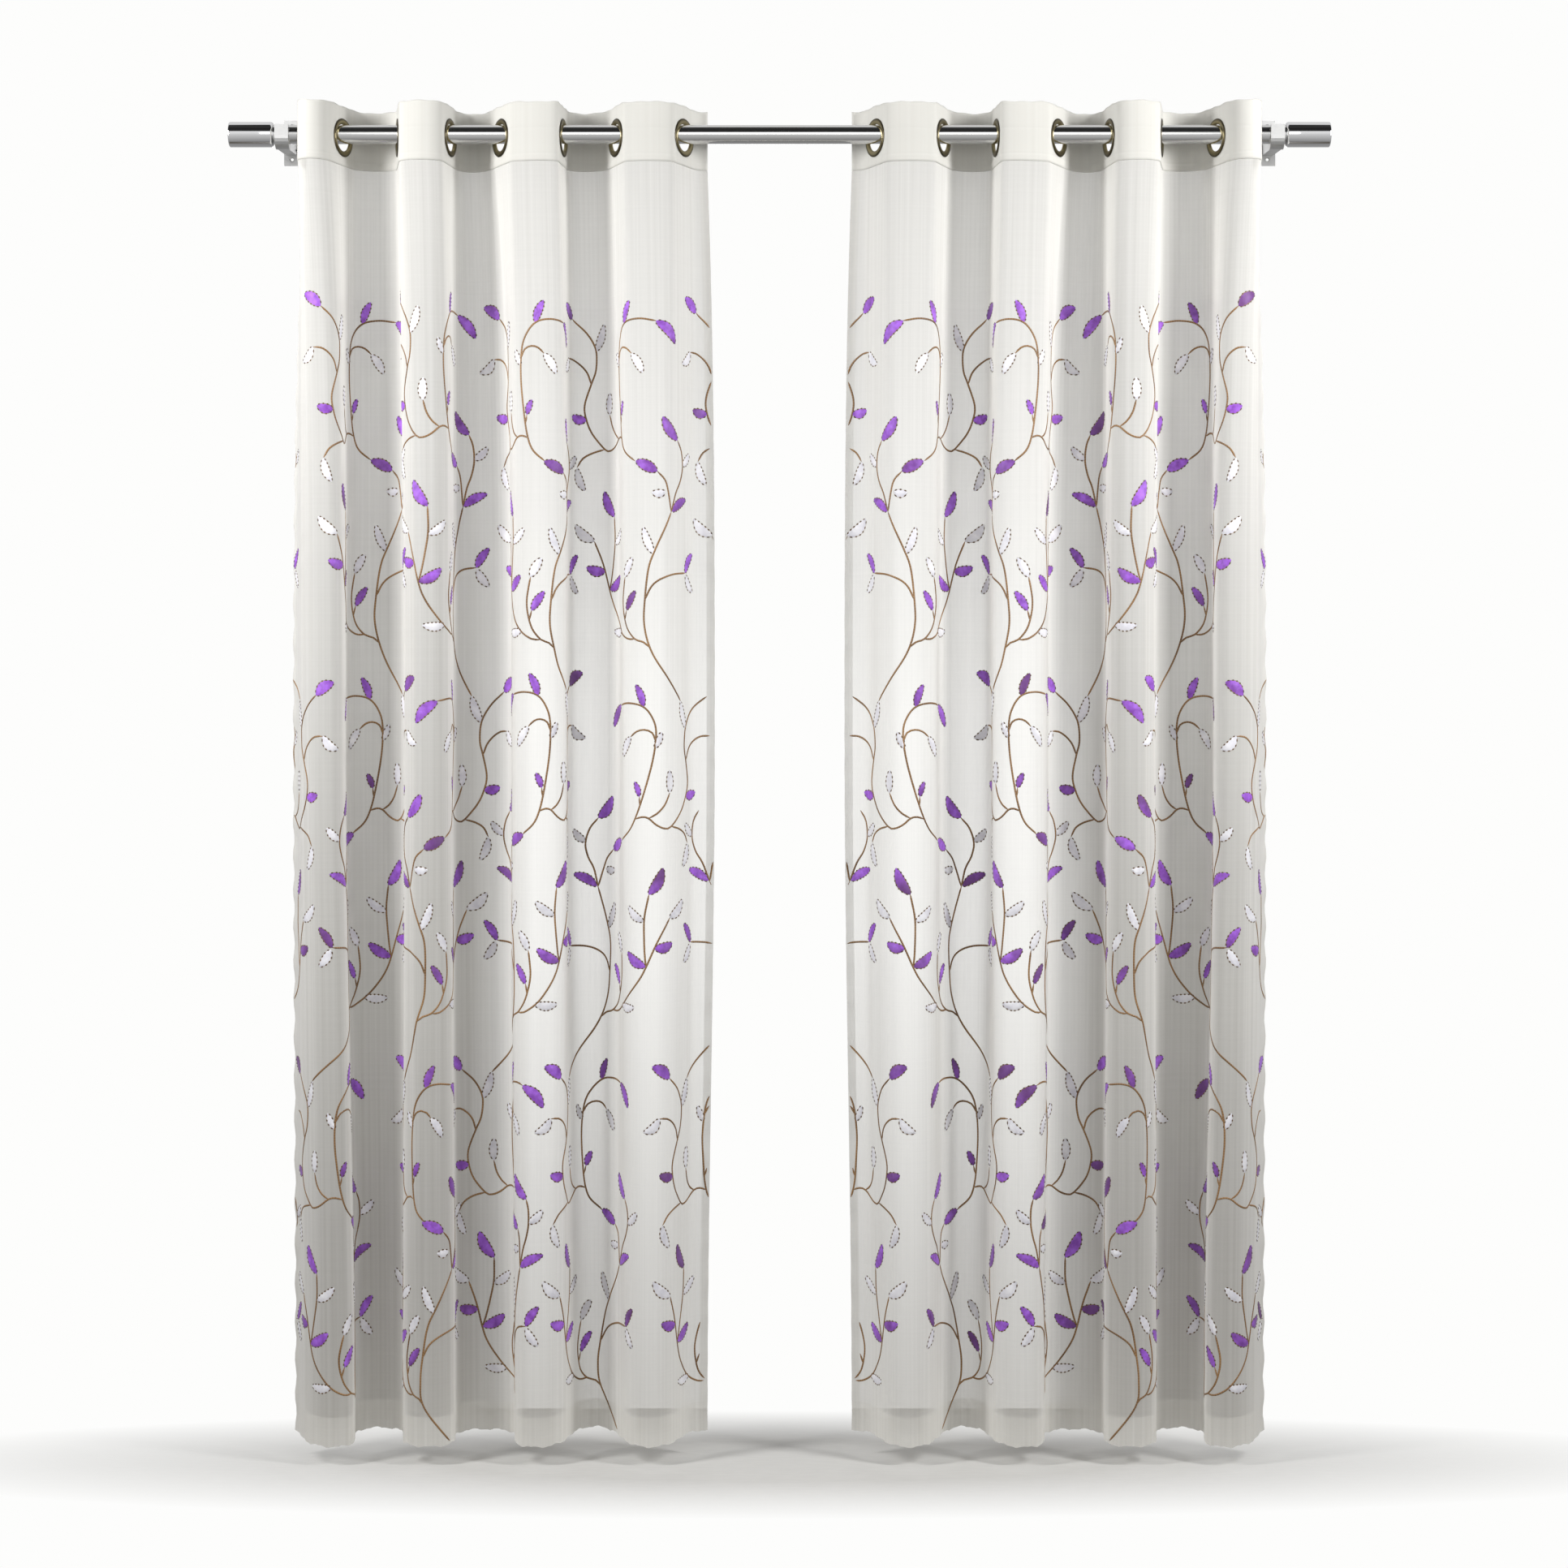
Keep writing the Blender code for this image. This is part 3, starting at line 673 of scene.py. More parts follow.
# One row across the cloth: the drop of its forks and whether it is mirrored.
Row = namedtuple("Row", "drop flip vines")
ROWS = (
    Row(765, 1, (
        Vine(-72),
        Vine(268, lean=4),
        Vine(507, inner=0.6, rise=1.02),
        Vine(741, lower=9, outer=0.9),
        Vine(1013, lower=8, lean=-14, outer=1.08),
        Vine(1275),
    )),
    Row(1366, -1, (
        Vine(-72, lower=15, lean=20),
        Vine(186, lean=38, outer=0.86, inner=0.9, rise=0.986),
        Vine(399, lean=58, inner=0.92, rise=0.98),
        Vine(658, lean=30, inner=0.84),
        Vine(878, lower=5, lean=88, inner=1.08, rise=0.975),
        Vine(1185),
    )),
    Row(1972, 1, (
        Vine(-66, rise=0.97),
        Vine(178, lean=10, inner=0.62, rise=0.97, trunk=False),
        Vine(408, lean=27, outer=0.72, rise=0.97),
        Vine(658, lower=-9, lean=20, inner=0.42, rise=0.955, trunk=False),
        Vine(874, lean=34, rise=0.965),
        Vine(1172, lean=28, rise=0.965),
    )),
)
print("stems, leaves:", len(STEMS), len(LEAVES), "vines a panel:", sum(len(r.vines) for r in ROWS))

# %% [markdown]
# ## From chart to cloth
# A stem is a couched cord, about 3 mm wide and flattened where it is sewn down. It could be a curve
# object with a bevel, but a mesh swept along the folded cloth keeps its flat side to the cloth
# wherever that turns. Each place on the chart is moved to its vine and row, then hung on the folds.

# %% Places on the chart
# A trunk that is led to a leaf of the row below bends by this share of the way at its next point.
ROOT_BEND = 0.45
EDGE_MARGIN = 1.5 * MM


def placed(points, row, vine):
    """Chart points in mm, as (across, drop) on the flat cloth in metres."""
    points = np.asarray(points, float)
    beside, up = row.flip * points[..., 0], points[..., 1]
    spread = np.where(beside < 0, vine.outer, vine.inner)
    across = vine.place + beside * spread + vine.lean * up / LEAN_HEIGHT
    return np.stack((across, row.drop + vine.lower - up * vine.rise), -1) * MM


def leaf_ends(leaf, row, vine):
    """A leaf's foot and tip on the flat cloth. A leaf keeps its size, whatever its vine's spread."""
    foot = placed(leaf.foot, row, vine)
    return foot, foot + np.subtract(leaf.tip, leaf.foot) * (row.flip, -1) * MM


def rooted(trunk, number):
    """A trunk that starts at the nearest outlined leaf's tip in the row below, if there is one."""
    if number + 1 < len(ROWS):
        below = ROWS[number + 1]
        tips = [leaf_ends(ROOT_LEAF, below, vine)[1] for vine in below.vines]
        shift = min((tip - trunk[0] for tip in tips), key=np.linalg.norm)
        trunk[0] += shift
        trunk[1] += shift * ROOT_BEND
    return trunk


def on_the_panel(flat):
    """Which flat places lie on the cloth, clear of its edges."""
    across, drop = flat[..., 0], flat[..., 1]
    inside = (across > EDGE_MARGIN) & (across < CLOTH_WIDTH - EDGE_MARGIN)
    return inside & (drop > EDGE_MARGIN) & (drop < PANEL_LENGTH - EDGE_MARGIN)


foot = placed(STEMS[0][0], ROWS[0], ROWS[0].vines[1])
print("second trunk's foot on the flat cloth in metres:", foot.round(3))

# %% Cords
CORD_WIDTH = 3.1 * MM
CORD_HEIGHT = 1.5 * MM
CORD_STEP = 6 * MM
CORD_SIDES = 6
# Where a cord goes through to the back of the cloth, it is this share of its size.
CORD_END = 0.35


def smooth_line(points, step):
    """A Catmull-Rom curve through points, with a place about every step."""
    points = np.asarray(points, float)
    ends = 2 * points[0] - points[1], 2 * points[-1] - points[-2]
    padded = np.vstack((ends[0], points, ends[1]))
    line = []
    for a, b, c, d in zip(padded, padded[1:], padded[2:], padded[3:]):
        count = max(1, round(np.linalg.norm(c - b) / step))
        for t in np.arange(count) / count:
            line.append(
                0.5 * (2 * b + (c - a) * t + (2 * a - 5 * b + 4 * c - d) * t**2
                       + (3 * b - a - 3 * c + d) * t**3)
            )
    return np.array(line + [points[-1]])


def cord(flat, side):
    """A flattened round cord along flat places, thinner at both ends."""
    spine, normal = on_cloth(flat[:, 0], flat[:, 1], side)
    ahead = np.gradient(spine, axis=0)
    ahead /= np.linalg.norm(ahead, axis=1, keepdims=True)
    beside = np.cross(ahead, normal)
    angle = 2 * math.pi * np.arange(CORD_SIDES) / CORD_SIDES
    size = np.ones(len(flat))
    size[[0, -1]] = CORD_END
    ring = (
        beside[:, None] * (np.cos(angle) * CORD_WIDTH / 2)[None, :, None]
        + normal[:, None] * (np.sin(angle) * CORD_HEIGHT / 2)[None, :, None]
    )
    points = spine[:, None] + ring * size[:, None, None]
    faces = grid_faces(len(flat), CORD_SIDES, round_columns=1)
    uv = stacked(along_path(spine)[:, None], angle / 2 / math.pi)
    return points.reshape(-1, 3), faces, uv.reshape(-1, 2)


print("cord width and height in mm:", CORD_WIDTH / MM, CORD_HEIGHT / MM)

# %% [markdown]
# ## Leaves and their stitches
# A leaf is a low pillow of satin stitch with pointed ends, and brown running stitches go around it.
# Each stitch pulls the rim in and the satin swells between two of them, so the rim is scalloped in
# step with the stitches. A picture on the cloth could show this, but only real relief catches the
# light. Leaves and stitches stand a little proud on both faces of the voile, as the real ones do.

# %% Leaf pillows
LEAF_COLUMNS = 4
LEAF_HEIGHT = 0.9 * MM
# Under 1, the skew moves a leaf's widest place towards its foot and the fullness rounds its sides.
LEAF_SKEW = 0.92
LEAF_FULLNESS = 0.62
LEAF_END = 0.004
SCALLOP_PITCH = 6.6 * MM
SCALLOP_DEPTH = 0.8 * MM
SCALLOP_START = 1 / 3
ROWS_A_SCALLOP = 4


def scallops(leaf):
    """How many running stitches lie along each side of a leaf."""
    return round(math.dist(leaf.foot, leaf.tip) * MM / SCALLOP_PITCH)


def leaf_outline(leaf, along, over, row, vine):
    """Flat places on a leaf: along from foot to tip, over from -1 to 1 across it."""
    foot, tip = leaf_ends(leaf, row, vine)
    axis = tip - foot
    beside = row.flip * np.array((axis[1], -axis[0])) / np.linalg.norm(axis)
    swell = np.sin(math.pi * along)
    wave = np.cos(2 * math.pi * scallops(leaf) * along) * np.minimum(1, swell / SCALLOP_START)
    half = leaf.width / 2 * MM * np.sin(math.pi * along**LEAF_SKEW) ** LEAF_FULLNESS
    shift = over * (half + SCALLOP_DEPTH * wave) + leaf.bend * MM * swell
    return foot + along[..., None] * axis + shift[..., None] * beside


def pillow(leaf, row, vine, side):
    """Both faces of a satin-stitch leaf, its UVs the distance along it and the share across."""
    along, over = np.meshgrid(
        np.linspace(LEAF_END, 1 - LEAF_END, ROWS_A_SCALLOP * scallops(leaf) + 1),
        np.linspace(-1, 1, LEAF_COLUMNS + 1),
        indexing="ij",
    )
    flat = leaf_outline(leaf, along, over, row, vine)
    # Round across, and soon at its full height along.
    rise = LEAF_HEIGHT * (1 - over**2) ** 0.5 * np.sin(math.pi * along) ** 0.4
    uv = stacked(along * math.dist(leaf.foot, leaf.tip) * MM, over).reshape(-1, 2)
    spine, normal = on_cloth(flat[..., 0], flat[..., 1], side)
    halves = []
    for sign in (1, -1):
        points = spine + normal * (sign * rise)[..., None]
        halves.append((points.reshape(-1, 3), grid_faces(*along.shape)[:, ::sign], uv))
    return joined(halves)


print("stitches on each side of a leaf:", sorted({scallops(leaf) for leaf in LEAVES}))

# %% Running stitches
STITCH_SHARE = 0.56
STITCH_WIDTH = 2.3 * MM
STITCH_HEIGHT = 0.9 * MM
# A stitch is at its full width between these shares of its length.
STITCH_SHOULDERS = (0.25, 0.75)


def stitch(ends, side):
    """One short raised stitch between two flat places: a ridge on each face of the cloth."""
    first, last = [(1 - share) * ends[0] + share * ends[1] for share in STITCH_SHOULDERS]
    axis = ends[1] - ends[0]
    beside = np.array((-axis[1], axis[0])) / np.linalg.norm(axis) * STITCH_WIDTH / 2
    rim = ends[0], first + beside, last + beside, ends[1], last - beside, first - beside
    flat = np.array((*rim, first, last))
    points, normal = on_cloth(flat[:, 0], flat[:, 1], side)
    top = points[6:] + normal[6:] * STITCH_HEIGHT
    under = points[6:] - normal[6:] * STITCH_HEIGHT
    faces = []
    for near, far in ((6, 7), (8, 9)):
        faces += [(0, 1, near, near), (1, 2, far, near), (2, 3, far, far),
                  (3, 4, far, far), (4, 5, near, far), (5, 0, near, near)]
    uv = np.linspace((0, 0), (np.linalg.norm(axis), 1), 10)
    return np.vstack((points[:6], top, under)), np.array(faces), uv


def outline_stitches(leaf, row, vine, side):
    """Running stitches around a leaf, one in each hollow of its rim."""
    count = scallops(leaf)
    reach = np.array((-0.5, 0.5)) * STITCH_SHARE
    sewn = []
    for number in range(count):
        along = (number + 0.5 + reach) / count
        for over in (-1, 1):
            ends = leaf_outline(leaf, along, np.full(2, over), row, vine)
            if on_the_panel(ends).all():
                sewn.append(stitch(ends, side))
    return sewn


def without_slivers(points, faces, uv):
    """Quads with a doubled corner become triangles, which from_pydata accepts."""
    tidy = [list(dict.fromkeys(face)) for face in np.asarray(faces).tolist()]
    return points, [face for face in tidy if len(face) > 2], uv


print("stitch width and height in mm:", STITCH_WIDTH / MM, STITCH_HEIGHT / MM)

# %% Sew every vine
made = {}
for word, side in SIDES.items():
    cords, stitches, pillows = [], [], {"purple": [], "white": []}
    for number, row in enumerate(ROWS):
        for vine in row.vines:
            lines = [placed(stem, row, vine) for stem in STEMS]
            lines[0] = rooted(lines[0], number) if vine.trunk else lines[0][2:]
            for line in lines:
                flat = smooth_line(line, CORD_STEP)
                inside = on_the_panel(flat)
                for run in np.split(np.arange(len(flat)), np.flatnonzero(np.diff(inside)) + 1):
                    if inside[run[0]] and len(run) > 1:
                        cords.append(cord(flat[run], side))
            for leaf in LEAVES:
                if on_the_panel(np.array(leaf_ends(leaf, row, vine))).all():
                    pillows[leaf.kind].append(pillow(leaf, row, vine, side))
                    stitches += outline_stitches(leaf, row, vine, side)
    made[word] = {"cords": joined(cords)}
    made[word].update({kind: joined(leaves) for kind, leaves in pillows.items()})
    made[word]["stitches"] = without_slivers(*joined(stitches))
    print(word, {name: len(part[1]) for name, part in made[word].items()})

# %% [markdown]
# ## Threads
# Embroidery thread is twisted rayon or polyester with a silky shine. The cord is a golden brown
# two-ply twist, the leaves are flat satin stitch, bright where it catches the light, and the
# outlines are dark brown. Each thread is given a lit and a shaded tone, and its stripes and patches
# blend between them, so they are partly painted light and shade. The satin stitches run along each
# leaf. They lie 0.4 mm apart, too fine to show, so they are drawn 1.1 mm apart.

# %% Thread materials
SATIN_PITCH = 1.1 * MM
PLY_PITCH = 4.2 * MM
LEAF_HALF_WIDTH = 8 * MM
# A leaf's UV map counts its width in shares of the half width, so its pitch is one too.
SATIN_SHARE = SATIN_PITCH / LEAF_HALF_WIDTH
STRIPE_SHARE = 0.4


def thread_material(name, light, dark, pitch, way="X", rim=None, shade_tint=None, spots=70):
    """Shiny thread: stripes at a pitch along one way of its UV map, and patches, in lit and shaded tones."""
    material = new_material(name)
    flat = add(material, "UVMap", uv_map="flat")
    stripes = add(
        material, "TexWave", {"Vector": flat}, wave_type="BANDS", bands_direction=way,
        Scale=WAVE_UNIT / pitch, Distortion=0.8, Detail=1.0,
    ).outputs["Fac"]
    place = add(material, "TexCoord").outputs["Object"]
    spotted = add(material, "TexNoise", {"Vector": place}, Scale=spots, Detail=2.0)
    tone_and_shade_patches = add(material, "MapRange", {"Value": spotted}, From_Min=0.3, From_Max=0.7, To_Max=0.7)
    tone = add(material, "Math", {0: stripes, 1: STRIPE_SHARE, 2: tone_and_shade_patches}, operation="MULTIPLY_ADD")
    # The light and dark tones are the thread lit and in shade. The stripes and random patches between them
    # are partly painted light and shade, and partly the thread's own uneven tone.
    tones = enumerate((linear(dark), linear(light)))
    colour = add(material, "ValToRGB", {"Fac": tone}, stops=tones)
    tints = []
    if shade_tint:
        # Slow patches tinted towards a dull plum: painted shade, scattered at random over the leaves.
        slow = add(material, "TexNoise", {"Vector": place}, Scale=9.0, Detail=1.0)
        plum_shade_patches = add(material, "MapRange", {"Value": slow}, From_Min=0.48, From_Max=0.66, To_Max=0.75)
        tints.append((plum_shade_patches, shade_tint))
    if rim:
        over = add(material, "SeparateXYZ", {"Vector": flat}).outputs["Y"]
        out = add(material, "Math", {0: over}, operation="ABSOLUTE")
        edge = add(material, "MapRange", {"Value": out}, From_Min=0.86, From_Max=0.93)
        tints.append((edge, rim))
    for share, tint in tints:
        links = {"Factor": share, FIRST: colour, SECOND: linear(tint)}
        colour = add(material, "Mix", links, data_type="RGBA").outputs[MIXED]
    raised = add(material, "Bump", {"Height": stripes}, Strength=0.6, Distance=0.2 * MM)
    shader = add(
        material, "BsdfPrincipled", {"Base Color": colour, "Normal": raised},
        Roughness=0.5, Sheen_Weight=0.3, Sheen_Roughness=0.3,
    )
    add(material, "OutputMaterial", {"Surface": shader})
    return material


print("satin stitches drawn in 10 mm:", round(10 * MM / SATIN_PITCH))

# %% Embroidery pieces
THREADS = {
    "cords": thread_material("golden_brown_rayon_cord", "#a27d52", "#63472a", PLY_PITCH, spots=14),
    "purple": thread_material(
        "purple_satin_stitch", "#b671f2", "#74309f", SATIN_SHARE, "Y", rim="#94764e", shade_tint="#5a3358", spots=90
    ),
    "white": thread_material(
        "white_satin_stitch", "#fbfafd", "#d8d6e0", SATIN_SHARE, "Y", rim="#b9ab94", spots=60
    ),
    "stitches": thread_material(
        "dark_brown_running_stitch", "#6b5138", "#453120", SATIN_PITCH, spots=90
    ),
}
embroidery = {
    word: {
        name: piece(f"embroidery_{name}_{word}", *arrays, THREADS[name])
        for name, arrays in parts.items()
    }
    for word, parts in made.items()
}
print("embroidery pieces:", sum(len(parts) for parts in embroidery.values()))

# %% [markdown]
# ## Rings
# Each eyelet is pressed together from two stamped brass shells with a rolled, rounded edge, plated
# to look old: olive gold on the face, dark in the recess at the rim. A turned profile gives that
# shape exactly. One mesh is made and placed at every eyelet, square to the cloth that it clamps.

# %% Ring shape
RING_STEPS = 64
# Radius and half height in mm, from the groove that grips the cloth round to the bore's middle.
RING_HALF = (
    (25.1, 1.15), (29.9, 1.15), (30.4, 1.3), (30.6, 1.65), (30.3, 2.05), (29.4, 2.45), (28.0, 2.8),
    (26.4, 2.95), (24.7, 2.85), (23.2, 2.45), (22.1, 1.8), (21.35, 1.0), (21.05, 0.35),
)


def ring_arrays():
    """A closed turned ring about Z, its UVs the share around and the radius."""
    half = np.array(RING_HALF) * MM
    radius, height = np.vstack((half * (1, -1), half[::-1])).T
    angle = 2 * math.pi * np.arange(RING_STEPS)[:, None] / RING_STEPS
    points = stacked(radius * np.cos(angle), radius * np.sin(angle), height)
    faces = grid_faces(*points.shape[:2], round_rows=1, round_columns=1)[:, OTHER_WAY]
    return points.reshape(-1, 3), faces, stacked(angle / 2 / math.pi, radius).reshape(-1, 2)


print("ring's outer diameter in mm:", 2 * max(radius for radius, _ in RING_HALF))

# %% Antique brass
def metal_surface(material, marks, colour, gloss_range, bump, depth):
    """A metal's surface: fine marks change its gloss and stand a little proud."""
    raised = add(material, "Bump", {"Height": marks}, Strength=bump, Distance=depth)
    gloss = add(material, "MapRange", {"Value": marks}, To_Min=gloss_range[0], To_Max=gloss_range[1])
    links = {"Base Color": colour, "Roughness": gloss, "Normal": raised}
    shader = add(material, "BsdfPrincipled", links, Metallic=1.0)
    add(material, "OutputMaterial", {"Surface": shader})
    return material


brass = new_material("antique_brass_plate")
place = add(brass, "TexCoord").outputs["Object"]
radius = add(brass, "SeparateXYZ", {"Vector": add(brass, "UVMap", uv_map="flat")}).outputs["Y"]
wear = add(brass, "TexNoise", {"Vector": place}, Scale=160.0, Detail=4.0, Roughness=0.6)
# Rubbing keeps the face bright as far out as 25 mm, and the plate is dark from 29 mm on.
face = add(
    brass, "MapRange", {"Value": radius},
    From_Min=25 * MM, From_Max=29 * MM, To_Min=1.0, To_Max=0.0,
)
rubbed = add(brass, "Math", {0: wear, 1: 0.3, 2: face}, operation="MULTIPLY_ADD")
tones = (0.0, linear("#2e2820")), (0.95, linear("#938866"))
olive = add(brass, "ValToRGB", {"Fac": rubbed}, stops=tones)
metal_surface(brass, wear, olive, (0.24, 0.42), 0.15, 0.1 * MM)
print("nodes in the brass:", len(brass.node_tree.nodes))

# %% A ring at every eyelet
def upright(direction_3d):
    """Rotation that turns local Z to a direction and local X to straight up."""
    up = Vector((0, 0, 1))
    return Matrix((up, direction_3d.cross(up), direction_3d)).transposed().to_4x4()


rings = {}
ring_mesh = None
for word, side in SIDES.items():
    for number, row in enumerate(CROSSINGS):
        step = direction(row.top_turn, number % 2 == 0)
        along_cloth = Vector((step.x * -side, step.y, 0))
        centre = Vector((side * row.top_x * MM, -ROD_TO_WALL, EYELET_CENTRE_Z))
        name = f"eyelet_ring_{word}_{number + 1}"
        if ring_mesh is None:
            ring = piece(name, *ring_arrays(), brass)
            ring_mesh = ring.data
        else:
            ring = bpy.data.objects.new(name, ring_mesh)
            bpy.context.scene.collection.objects.link(ring)
        turn = upright(along_cloth.cross(Vector((0, 0, 1))))
        ring.matrix_world = Matrix.Translation(centre) @ turn
        rings[f"eyelet_{word}_{number + 1}"] = ring
print("rings:", len(rings), "faces each:", len(ring_mesh.polygons))

# %% [markdown]
# ## Rod, finials and brackets
# The rod is drawn steel tube, polished along its length. The finials are turned and chrome plated,
# so they mirror the room. On both, each reflection is a straight stripe whose place depends on the
# roundness, so they are turned again here from the CAD sizes with many more steps. The brackets are
# die-cast zinc, tumbled to a satin grey, and the set screws are blackened steel. Their shapes are
# right already, so each only gets its finish.

# %% Metal finishes
def metal(name, colour, roughness, stretch, grain, bump, tone=0.06):
    """Plain metal with a fine grain. stretch says how often the grain changes in a metre, by axis."""
    material = new_material(name)
    place = add(material, "TexCoord").outputs["Object"]
    stretched = add(material, "Mapping", {"Vector": place}, Scale=stretch)
    marks = add(material, "TexNoise", {"Vector": stretched}, Scale=1.0, Detail=grain, Roughness=0.6)
    base = linear(colour)[:3]
    tones = [(*[min(1.0, value * share) for value in base], 1) for share in (1 - tone, 1 + tone)]
    shade = add(material, "ValToRGB", {"Fac": marks}, stops=enumerate(tones))
    return metal_surface(material, marks, shade, (roughness * 0.8, roughness * 1.2), bump, 0.05 * MM)


FINISHES = {
    "rod": metal("polished_steel_tube", "#d2d2d1", 0.12, (6, 900, 900), 3.0, 0.08),
    "finial": metal("chrome_plate", "#dededf", 0.05, (400, 400, 400), 2.0, 0.01, 0.02),
    "bracket": metal("tumbled_zinc", "#bdbdbc", 0.38, (500, 500, 500), 5.0, 0.3),
    "set_screw": metal("blackened_steel", "#3b3b3c", 0.4, (700, 700, 700), 4.0, 0.2),
}
for name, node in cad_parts.items():
    if name.startswith(("bracket", "set_screw")):
        node.data.materials.clear()
        node.data.materials.append(FINISHES[name.rsplit("_", 1)[0]])
print("finishes:", sorted(material.name for material in FINISHES.values()))

# %% Turned rod and finials
TURNED_STEPS = 96
SHARP_EDGE = math.radians(35)
ROD_RADIUS = 15 * MM
ROD_HALF_LENGTH = 811 * MM
FINIAL_RADIUS = 20 * MM
FINIAL_LENGTH = 72 * MM
FINIAL_SHOULDER = 4.5 * MM
FINIAL_BEVEL = 2 * MM
FINIAL_DOME = 1 * MM
# Points of each rounded edge, and the dome's circles as shares of its radius.
EDGE_POINTS = 7
DOME_SHARES = (0.85, 0.7, 0.5, 0.3, 0.1)


def turned(name, profile, start, side, material):
    """A profile of (distance out, radius) turned about the rod's line, closed by a face at each end."""
    out, radius = np.array(profile).T[..., None]
    angle = 2 * math.pi * np.arange(TURNED_STEPS) / TURNED_STEPS
    points = stacked(
        side * (start + out), -ROD_TO_WALL + radius * np.cos(angle), radius * np.sin(angle)
    )
    index = np.arange(len(profile) * TURNED_STEPS).reshape(-1, TURNED_STEPS)
    walls = grid_faces(*index.shape, round_columns=1)[:, OTHER_WAY]
    faces = [*walls.tolist(), index[0].tolist(), index[-1, ::-1].tolist()]
    if side < 0:
        faces = [face[::-1] for face in faces]
    uv = stacked(out, angle / 2 / math.pi)
    thing = piece(name, points.reshape(-1, 3), faces, uv.reshape(-1, 2), material)
    thing.data.set_sharp_from_angle(angle=SHARP_EDGE)
    return thing


def finial_profile():
    """A rounded shoulder, a straight barrel, a rounded edge and a low domed end."""
    rise = FINIAL_RADIUS - ROD_RADIUS - FIT_GAP
    quarter = np.linspace(0, math.pi / 2, EDGE_POINTS)
    shoulder = [
        (FINIAL_SHOULDER * (1 - math.cos(a)), FINIAL_RADIUS - rise * (1 - math.sin(a))) for a in quarter
    ]
    face = FINIAL_LENGTH - FINIAL_DOME
    inner = FINIAL_RADIUS - FINIAL_BEVEL
    edge = [(face - FINIAL_BEVEL * (1 - math.sin(a)), inner + FINIAL_BEVEL * math.cos(a)) for a in quarter]
    dome = [(face + FINIAL_DOME * (1 - share**2), inner * share) for share in DOME_SHARES]
    return shoulder + edge + dome


rod = turned(
    "curtain_rod",
    [(-ROD_HALF_LENGTH, ROD_RADIUS), (ROD_HALF_LENGTH, ROD_RADIUS)],
    0, 1, FINISHES["rod"],
)
finial_start = ROD_HALF_LENGTH + FIT_GAP
finials = {
    word: turned(f"finial_{word}_turned", finial_profile(), finial_start, side, FINISHES["finial"])
    for word, side in SIDES.items()
}
print("turned faces:", len(rod.data.polygons), len(finials["left"].data.polygons))

# %% [markdown]
# ## Studio
# A plain pale floor lies just under the hems and fades out around them. Its faded edge glows by
# itself: as white as the backdrop where it is seen directly, and a dim painted shade where it is seen
# through the voile, so that no bright strip shows in the cloth. Two soft boxes stand in front, to the
# left and right and near the rod's height, so each panel is brighter on its outer side and a little
# darker towards the floor. A weaker one stands square in front, and another behind, for the cloth
# that is seen from the back. The world lights the rest softly.

# %% Floor and lights
FLOOR_Z = PANEL_TOP_Z - PANEL_LENGTH - 38 * MM
FLOOR_HALF_WIDTH = 1.6
FLOOR_HALF_DEPTH = 0.42
BACKDROP = linear("#fdfdfc")
LOW_SHADE = linear("#6a665f")

floor_material = new_material("matt_pale_floor")
place = add(floor_material, "TexCoord").outputs["Generated"]
centred = add(floor_material, "Mapping", {"Vector": place}, Location=(-1, -1, 0), Scale=(2, 2, 0))
away = add(floor_material, "VectorMath", {"Vector": centred}, operation="LENGTH").outputs["Value"]
speck = add(floor_material, "TexNoise", {"Vector": place}, Scale=90.0, Detail=3.0)
tones = {"Factor": speck, FIRST: linear("#c9c8c5"), SECOND: linear("#d3d2cf")}
speckled = add(floor_material, "Mix", tones, data_type="RGBA").outputs[MIXED]
matt = add(floor_material, "BsdfDiffuse", {"Color": speckled})
# The faded edge glows: white where the camera sees it directly, and a painted shade, LOW_SHADE, where it is
# seen through the voile and for all other light.
ray = add(floor_material, "LightPath").outputs
veiled = add(floor_material, "Math", {0: ray["Transparent Depth"], 1: 1.0}, operation="MINIMUM")
bare = add(floor_material, "Math", {0: 1.0, 1: veiled}, operation="SUBTRACT")
direct = add(floor_material, "Math", {0: ray["Is Camera Ray"], 1: bare}, operation="MULTIPLY")
edges = {"Factor": direct, FIRST: LOW_SHADE, SECOND: BACKDROP}
glow_and_painted_shade = add(floor_material, "Mix", edges, data_type="RGBA").outputs[MIXED]
glowing_edge = add(floor_material, "Emission", {"Color": glow_and_painted_shade})
fade = add(floor_material, "MapRange", {"Value": away}, From_Min=0.35, From_Max=0.95)
whole = add(floor_material, "MixShader", {"Fac": fade, 1: matt, 2: glowing_edge})
add(floor_material, "OutputMaterial", {"Surface": whole})
corners = np.array(((-1, -1), (1, -1), (-1, 1), (1, 1))) * (FLOOR_HALF_WIDTH, FLOOR_HALF_DEPTH)
floor = piece(
    "floor", np.column_stack((corners, np.zeros(4))), grid_faces(2, 2), corners, floor_material
)
floor.location = (0, -ROD_TO_WALL, FLOOR_Z)


def soft_box(name, place, target, size, power):
    """A rectangular area light that points at a place."""
    light = bpy.data.lights.new(name, "AREA")
    light.shape = "RECTANGLE"
    light.size, light.size_y = size
    light.energy = power
    box = bpy.data.objects.new(name, light)
    bpy.context.scene.collection.objects.link(box)
    box.location = place
    box.rotation_euler = (Vector(target) - Vector(place)).to_track_quat("-Z", "Y").to_euler()
    return box


